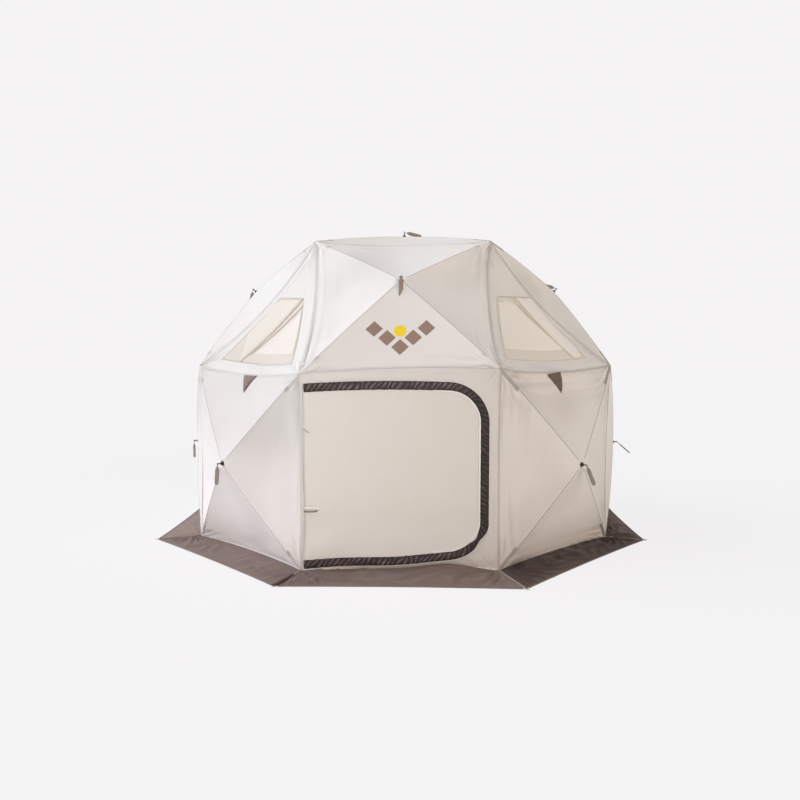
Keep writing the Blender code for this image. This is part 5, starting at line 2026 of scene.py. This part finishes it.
# The corner bindings fade from dark on the left, as a fold's painted shadow, to light on the right, as
# painted light.
skirt_binding = webbing("brown_skirt_binding", SKIRT_BINDING_COLOUR, LIT_SKIRT_BINDING_COLOUR)
skirt_hem_tape = webbing("brown_skirt_hem", SKIRT_HEM_COLOUR)
fold_shadow_tape = webbing("dark_skirt_fold", SKIRT_FOLD_SHADOW_COLOUR)
loop_tape = webbing("light_peg_loop", LOOP_COLOUR)
bindings, hems, loops, fold = bmesh.new(), bmesh.new(), bmesh.new(), bmesh.new()
outs = [step / SKIRT_TRIM_STEPS for step in range(SKIRT_TRIM_STEPS + 1)]
for side in range(len(SIDES)):
    path = [on_skirt(side, 0, out) + UP * SKIRT_BINDING_LIFT for out in outs]
    along_path(bindings, path, UP, oval(SKIRT_BINDING_WIDTH, SKIRT_BINDING_HEIGHT, 10))
    if side == 0:
        # A low ridge at the front's left corner, coloured dark as a fold's painted shadow.
        near, span = SKIRT_FOLD_SPAN
        path = [on_skirt(side, 0, near + span * out) + UP * SKIRT_FOLD_LIFT for out in outs]
        rings = []
        for step, point in enumerate(path):
            wide = SKIRT_FOLD_WIDTH * ease(2 * outs[step])
            across = (path[-1] - path[0]).cross(UP).normalized()
            rings.append([point + across * x * wide + UP * y for x, y in SKIRT_FOLD])
        ringed(fold, rings)
    path = []
    for step in range(SKIRT_COLUMNS + 1):
        path.append(on_skirt(side, step / SKIRT_COLUMNS, SKIRT_HEM_SHARE) + UP * SKIRT_HEM_LIFT)
    along_path(hems, path, UP, oval(SKIRT_HEM_WIDTH, SKIRT_HEM_HEIGHT, 8))
    tip = skirt_place(side, 0, 1) + UP * PEG_LOOP_LIFT
    out = facing(side - 0.5)
    aside = out.cross(UP)
    path = []
    for step in range(PEG_LOOP_STEPS + 1):
        angle = TURN / 2 * (step / PEG_LOOP_STEPS - 0.5)
        outwards = out * PEG_LOOP * (1.3 * math.cos(angle) - 0.5)
        path.append(tip + outwards + aside * PEG_LOOP * 0.8 * math.sin(angle))
    along_path(loops, path, UP, oval(PEG_LOOP_WIDTH, PEG_LOOP_HEIGHT, 8))
trims = [
    piece("skirt_corner_bindings", closed(bindings), skirt_binding),
    piece("skirt_corner_fold", closed(fold), fold_shadow_tape),
    piece("skirt_hem", closed(hems), skirt_hem_tape),
    piece("skirt_peg_loops", closed(loops), loop_tape),
]
for trim in trims:
    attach(trim, "shell")

# The eave flaps: small triangles of doubled brown cloth with a pull tab, sewn under the eaves beside
# the front, with a dark binding on their slanted edge.
FLAP_WIDTH = 0.150
FLAP_LENGTH = 0.118
FLAP_LEAN = 0.042
FLAP_BOW = 0.010
FLAP_TAB_LENGTH = 0.016
FLAP_TIP_WIDTH = 0.012
FLAP_ROOTS = {1: 0.020}
FLAP_ASIDE = 0.038
FLAP_CROWN = 0.008
FLAP_GAP = 0.003
FLAP_NET = 26
FLAP_LIFT = 0.001
FLAP_SOFTNESS = 0.0015
FLAP_CRINKLE = 0.0008
FLAP_BINDING_WIDTH = 0.006
FLAP_BINDING_HEIGHT = 0.003
FLAP_BINDING_LIFT = 0.0012
FLAP_BINDING_STEPS = 20
FLAP_TAB_HEIGHT = 0.0028
FLAP_TAB_LIFT = 0.002
FLAP_TAB_STEPS = 6
FLAP_COLOUR = (142, 122, 115)
SHADED_FLAP_COLOUR = (108, 92, 84)
FLAP_BINDING_COLOUR = (98, 82, 75)
FLAP_TAB_COLOUR = (176, 156, 145)
# The flaps' cloth darkens from left to right, as painted shade.
flap_cloth = woven("brown_flap_cloth", FLAP_COLOUR, SHADED_FLAP_COLOUR, crinkle=FLAP_CRINKLE)
flap_binding = webbing("dark_flap_binding", FLAP_BINDING_COLOUR)
flap_tab = webbing("light_flap_tab", FLAP_TAB_COLOUR)
for side in WINDOW_GABLES:
    name = SIDES[side]
    joint = joints[f"flap_{name}_lift"]
    hinge = Vector(joint["pos_m"])
    wall = next(square for square in squares if square.name == name)
    out = facing(side)
    top = wall.frame.inverted() @ hinge
    low, high = 0, wall.corners[2].y
    while high - low > MERGE_WITHIN:
        top.y = (low + high) / 2
        if wall.place(top.to_2d()).z < hinge.z:
            low = top.y
        else:
            high = top.y
    steep = math.cos(math.atan2(WALL_POP, WALL_HEIGHT / 2))
    towards_front = 1 if side > len(SIDES) / 2 else -1
    front = towards_front * (FLAP_ASIDE + FLAP_WIDTH / 2)
    back = towards_front * (FLAP_ASIDE - FLAP_WIDTH / 2)
    tip = back + towards_front * FLAP_TIP_WIDTH

    def on_flap(x, down, lift):
        """A place of the flap, over the wall's cloth."""
        share = down / FLAP_LENGTH
        aside = FLAP_LEAN * share - FLAP_BOW * 4 * share * (1 - share)
        spot = Vector((top.x + x + towards_front * aside, top.y - down * steep))
        return wall.place(spot) + out * (wall.folds(spot) + FLAP_GAP + lift)

    shape = bmesh.new()
    made = bmesh.ops.create_grid(shape, x_segments=FLAP_NET, y_segments=FLAP_NET, size=0.5)["verts"]
    flat = shape.loops.layers.uv.new("cloth")
    for vert in made:
        u, v = vert.co.x + 0.5, vert.co.y + 0.5
        down = v * FLAP_LENGTH
        edge = front + (tip - front) * v
        x = back + (edge - back) * u
        crown = FLAP_CROWN * 4 * u * (1 - u) * math.sin(math.pi * (0.1 + 0.8 * v))
        crown += FLAP_SOFTNESS * uneven(x * 30, down * 30, 701 + side)
        mapped(vert, (flat, (x, down)))
        vert.co = on_flap(x, down, max(crown, 0) + FLAP_LIFT)
    looking(shape, out)
    flap = piece(f"eave_flap_{name}_cloth", shape, flap_cloth, CLOTH)
    in_place_of(f"eave_flap_{name}")
    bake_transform(flap)
    shape = bmesh.new()
    path = []
    for step in range(FLAP_BINDING_STEPS + 1):
        share = step / FLAP_BINDING_STEPS
        path.append(on_flap(front + (tip - front) * share, FLAP_LENGTH * share, FLAP_BINDING_LIFT))
    along_path(shape, path, out, oval(FLAP_BINDING_WIDTH, FLAP_BINDING_HEIGHT, 8))
    trim = piece(f"eave_flap_{name}_binding", closed(shape), flap_binding)
    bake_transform(trim)
    shape = bmesh.new()
    start = FLAP_LENGTH - FLAP_TAB_LENGTH / 2
    shares = [step / FLAP_TAB_STEPS for step in range(FLAP_TAB_STEPS + 1)]
    path = [on_flap((back + tip) / 2, start + FLAP_TAB_LENGTH * share, FLAP_TAB_LIFT) for share in shares]
    along_path(shape, path, out, oval(FLAP_TIP_WIDTH, FLAP_TAB_HEIGHT, 8))
    tab = piece(f"eave_flap_{name}_tab", closed(shape), flap_tab)
    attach(tab, f"flap_{name}")
    if side in FLAP_ROOTS:
        shape = bmesh.new()
        path = [on_flap((back + front) / 2, -FLAP_ROOTS[side] * share, FLAP_TAB_LIFT) for share in shares]
        along_path(shape, path, out, oval(FLAP_WIDTH, FLAP_TAB_HEIGHT, 16))
        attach(piece(f"eave_flap_{name}_root", closed(shape), flap_cloth), "shell")

# The studio: a pale floor, an even pale surround and two soft lamps, the stronger from the left.
PALE = (245, 243, 244)
FLOOR_SIZE = 60.0
FLOOR_COLOUR = (248, 246, 245)
FLOOR_GLOW = 0.90
FLOOR_GLOW_STRENGTH = 1.014
KEY_STRENGTH = 3.0
KEY_ANGLE = 1.0
KEY_WAY = (0.816, -0.071, -0.574)
KEY_COLOUR = (0.945, 0.965, 1.0)
FILL_STRENGTH = 1.92
FILL_ANGLE = 1.0
FILL_WAY = (-0.664, 0.735, -0.139)
FILL_COLOUR = (1.0, 0.83, 0.66)
AMBIENT = 0.235
AMBIENT_COLOUR = (0.74, 0.92, 1.0, 1)
CAMERA_LENS = 35.25
CAMERA_SENSOR = 36.0
CAMERA_PLACE = (0.1107, -6.400, 1.4529)
CAMERA_DIP = 0.0747
CAMERA_TURN = 0.0228


world = bpy.data.worlds.new("pale_surround")
bpy.context.scene.world = world
world.use_nodes = True
surround = Nodes(world.node_tree)
plain = surround.tree.nodes["Background"]
surround.feed(plain, {"Color": AMBIENT_COLOUR, "Strength": AMBIENT})
shown = surround.node("Background", {}, {"Color": linear(PALE), "Strength": 1.0})
direct = surround.node("LightPath", {}, {}, "Is Camera Ray")
seen = direct.either(surround.node("LightPath", {}, {}, "Is Glossy Ray"))
mixed = surround.node("MixShader", {}, {0: seen, 1: Value(surround, plain.outputs[0]), 2: shown})
surround.feed(surround.tree.nodes["World Output"], {0: mixed})

shape = bmesh.new()
bmesh.ops.create_grid(shape, x_segments=1, y_segments=1, size=FLOOR_SIZE / 2)
floor_finish = Finish("pale_floor", FLOOR_COLOUR, 0.9, Specular_IOR_Level=0.0)
seen = floor_finish.node("LightPath", {}, {}, "Is Camera Ray") * FLOOR_GLOW
lit = Value(floor_finish, floor_finish.shader.outputs[0])
glow = floor_finish.node("Emission", {}, {"Color": linear(PALE), "Strength": FLOOR_GLOW_STRENGTH})
mixed = floor_finish.node("MixShader", {}, {0: seen, 1: lit, 2: glow})
floor_finish.feed(floor_finish.tree.nodes["Material Output"], {0: mixed})
piece("floor", shape, floor_finish)


def lamp(name, strength, angle, towards, colour):
    data = bpy.data.lights.new(name, "SUN")
    data.energy = strength
    data.angle = angle
    data.color = colour
    made = bpy.data.objects.new(name, data)
    bpy.context.scene.collection.objects.link(made)
    made.rotation_euler = Vector(towards).to_track_quat("-Z", "Y").to_euler()


lamp("key_lamp", KEY_STRENGTH, KEY_ANGLE, KEY_WAY, KEY_COLOUR)
lamp("fill_lamp", FILL_STRENGTH, FILL_ANGLE, FILL_WAY, FILL_COLOUR)

camera = bpy.data.cameras.new("camera")
camera.lens = CAMERA_LENS
camera.sensor_width = CAMERA_SENSOR
viewer = bpy.data.objects.new("camera", camera)
bpy.context.scene.collection.objects.link(viewer)
viewer.location = CAMERA_PLACE
viewer.rotation_euler = Euler((TURN / 4 - CAMERA_DIP, 0, CAMERA_TURN))
bpy.context.scene.camera = viewer
bpy.context.scene.view_settings.view_transform = "Standard"
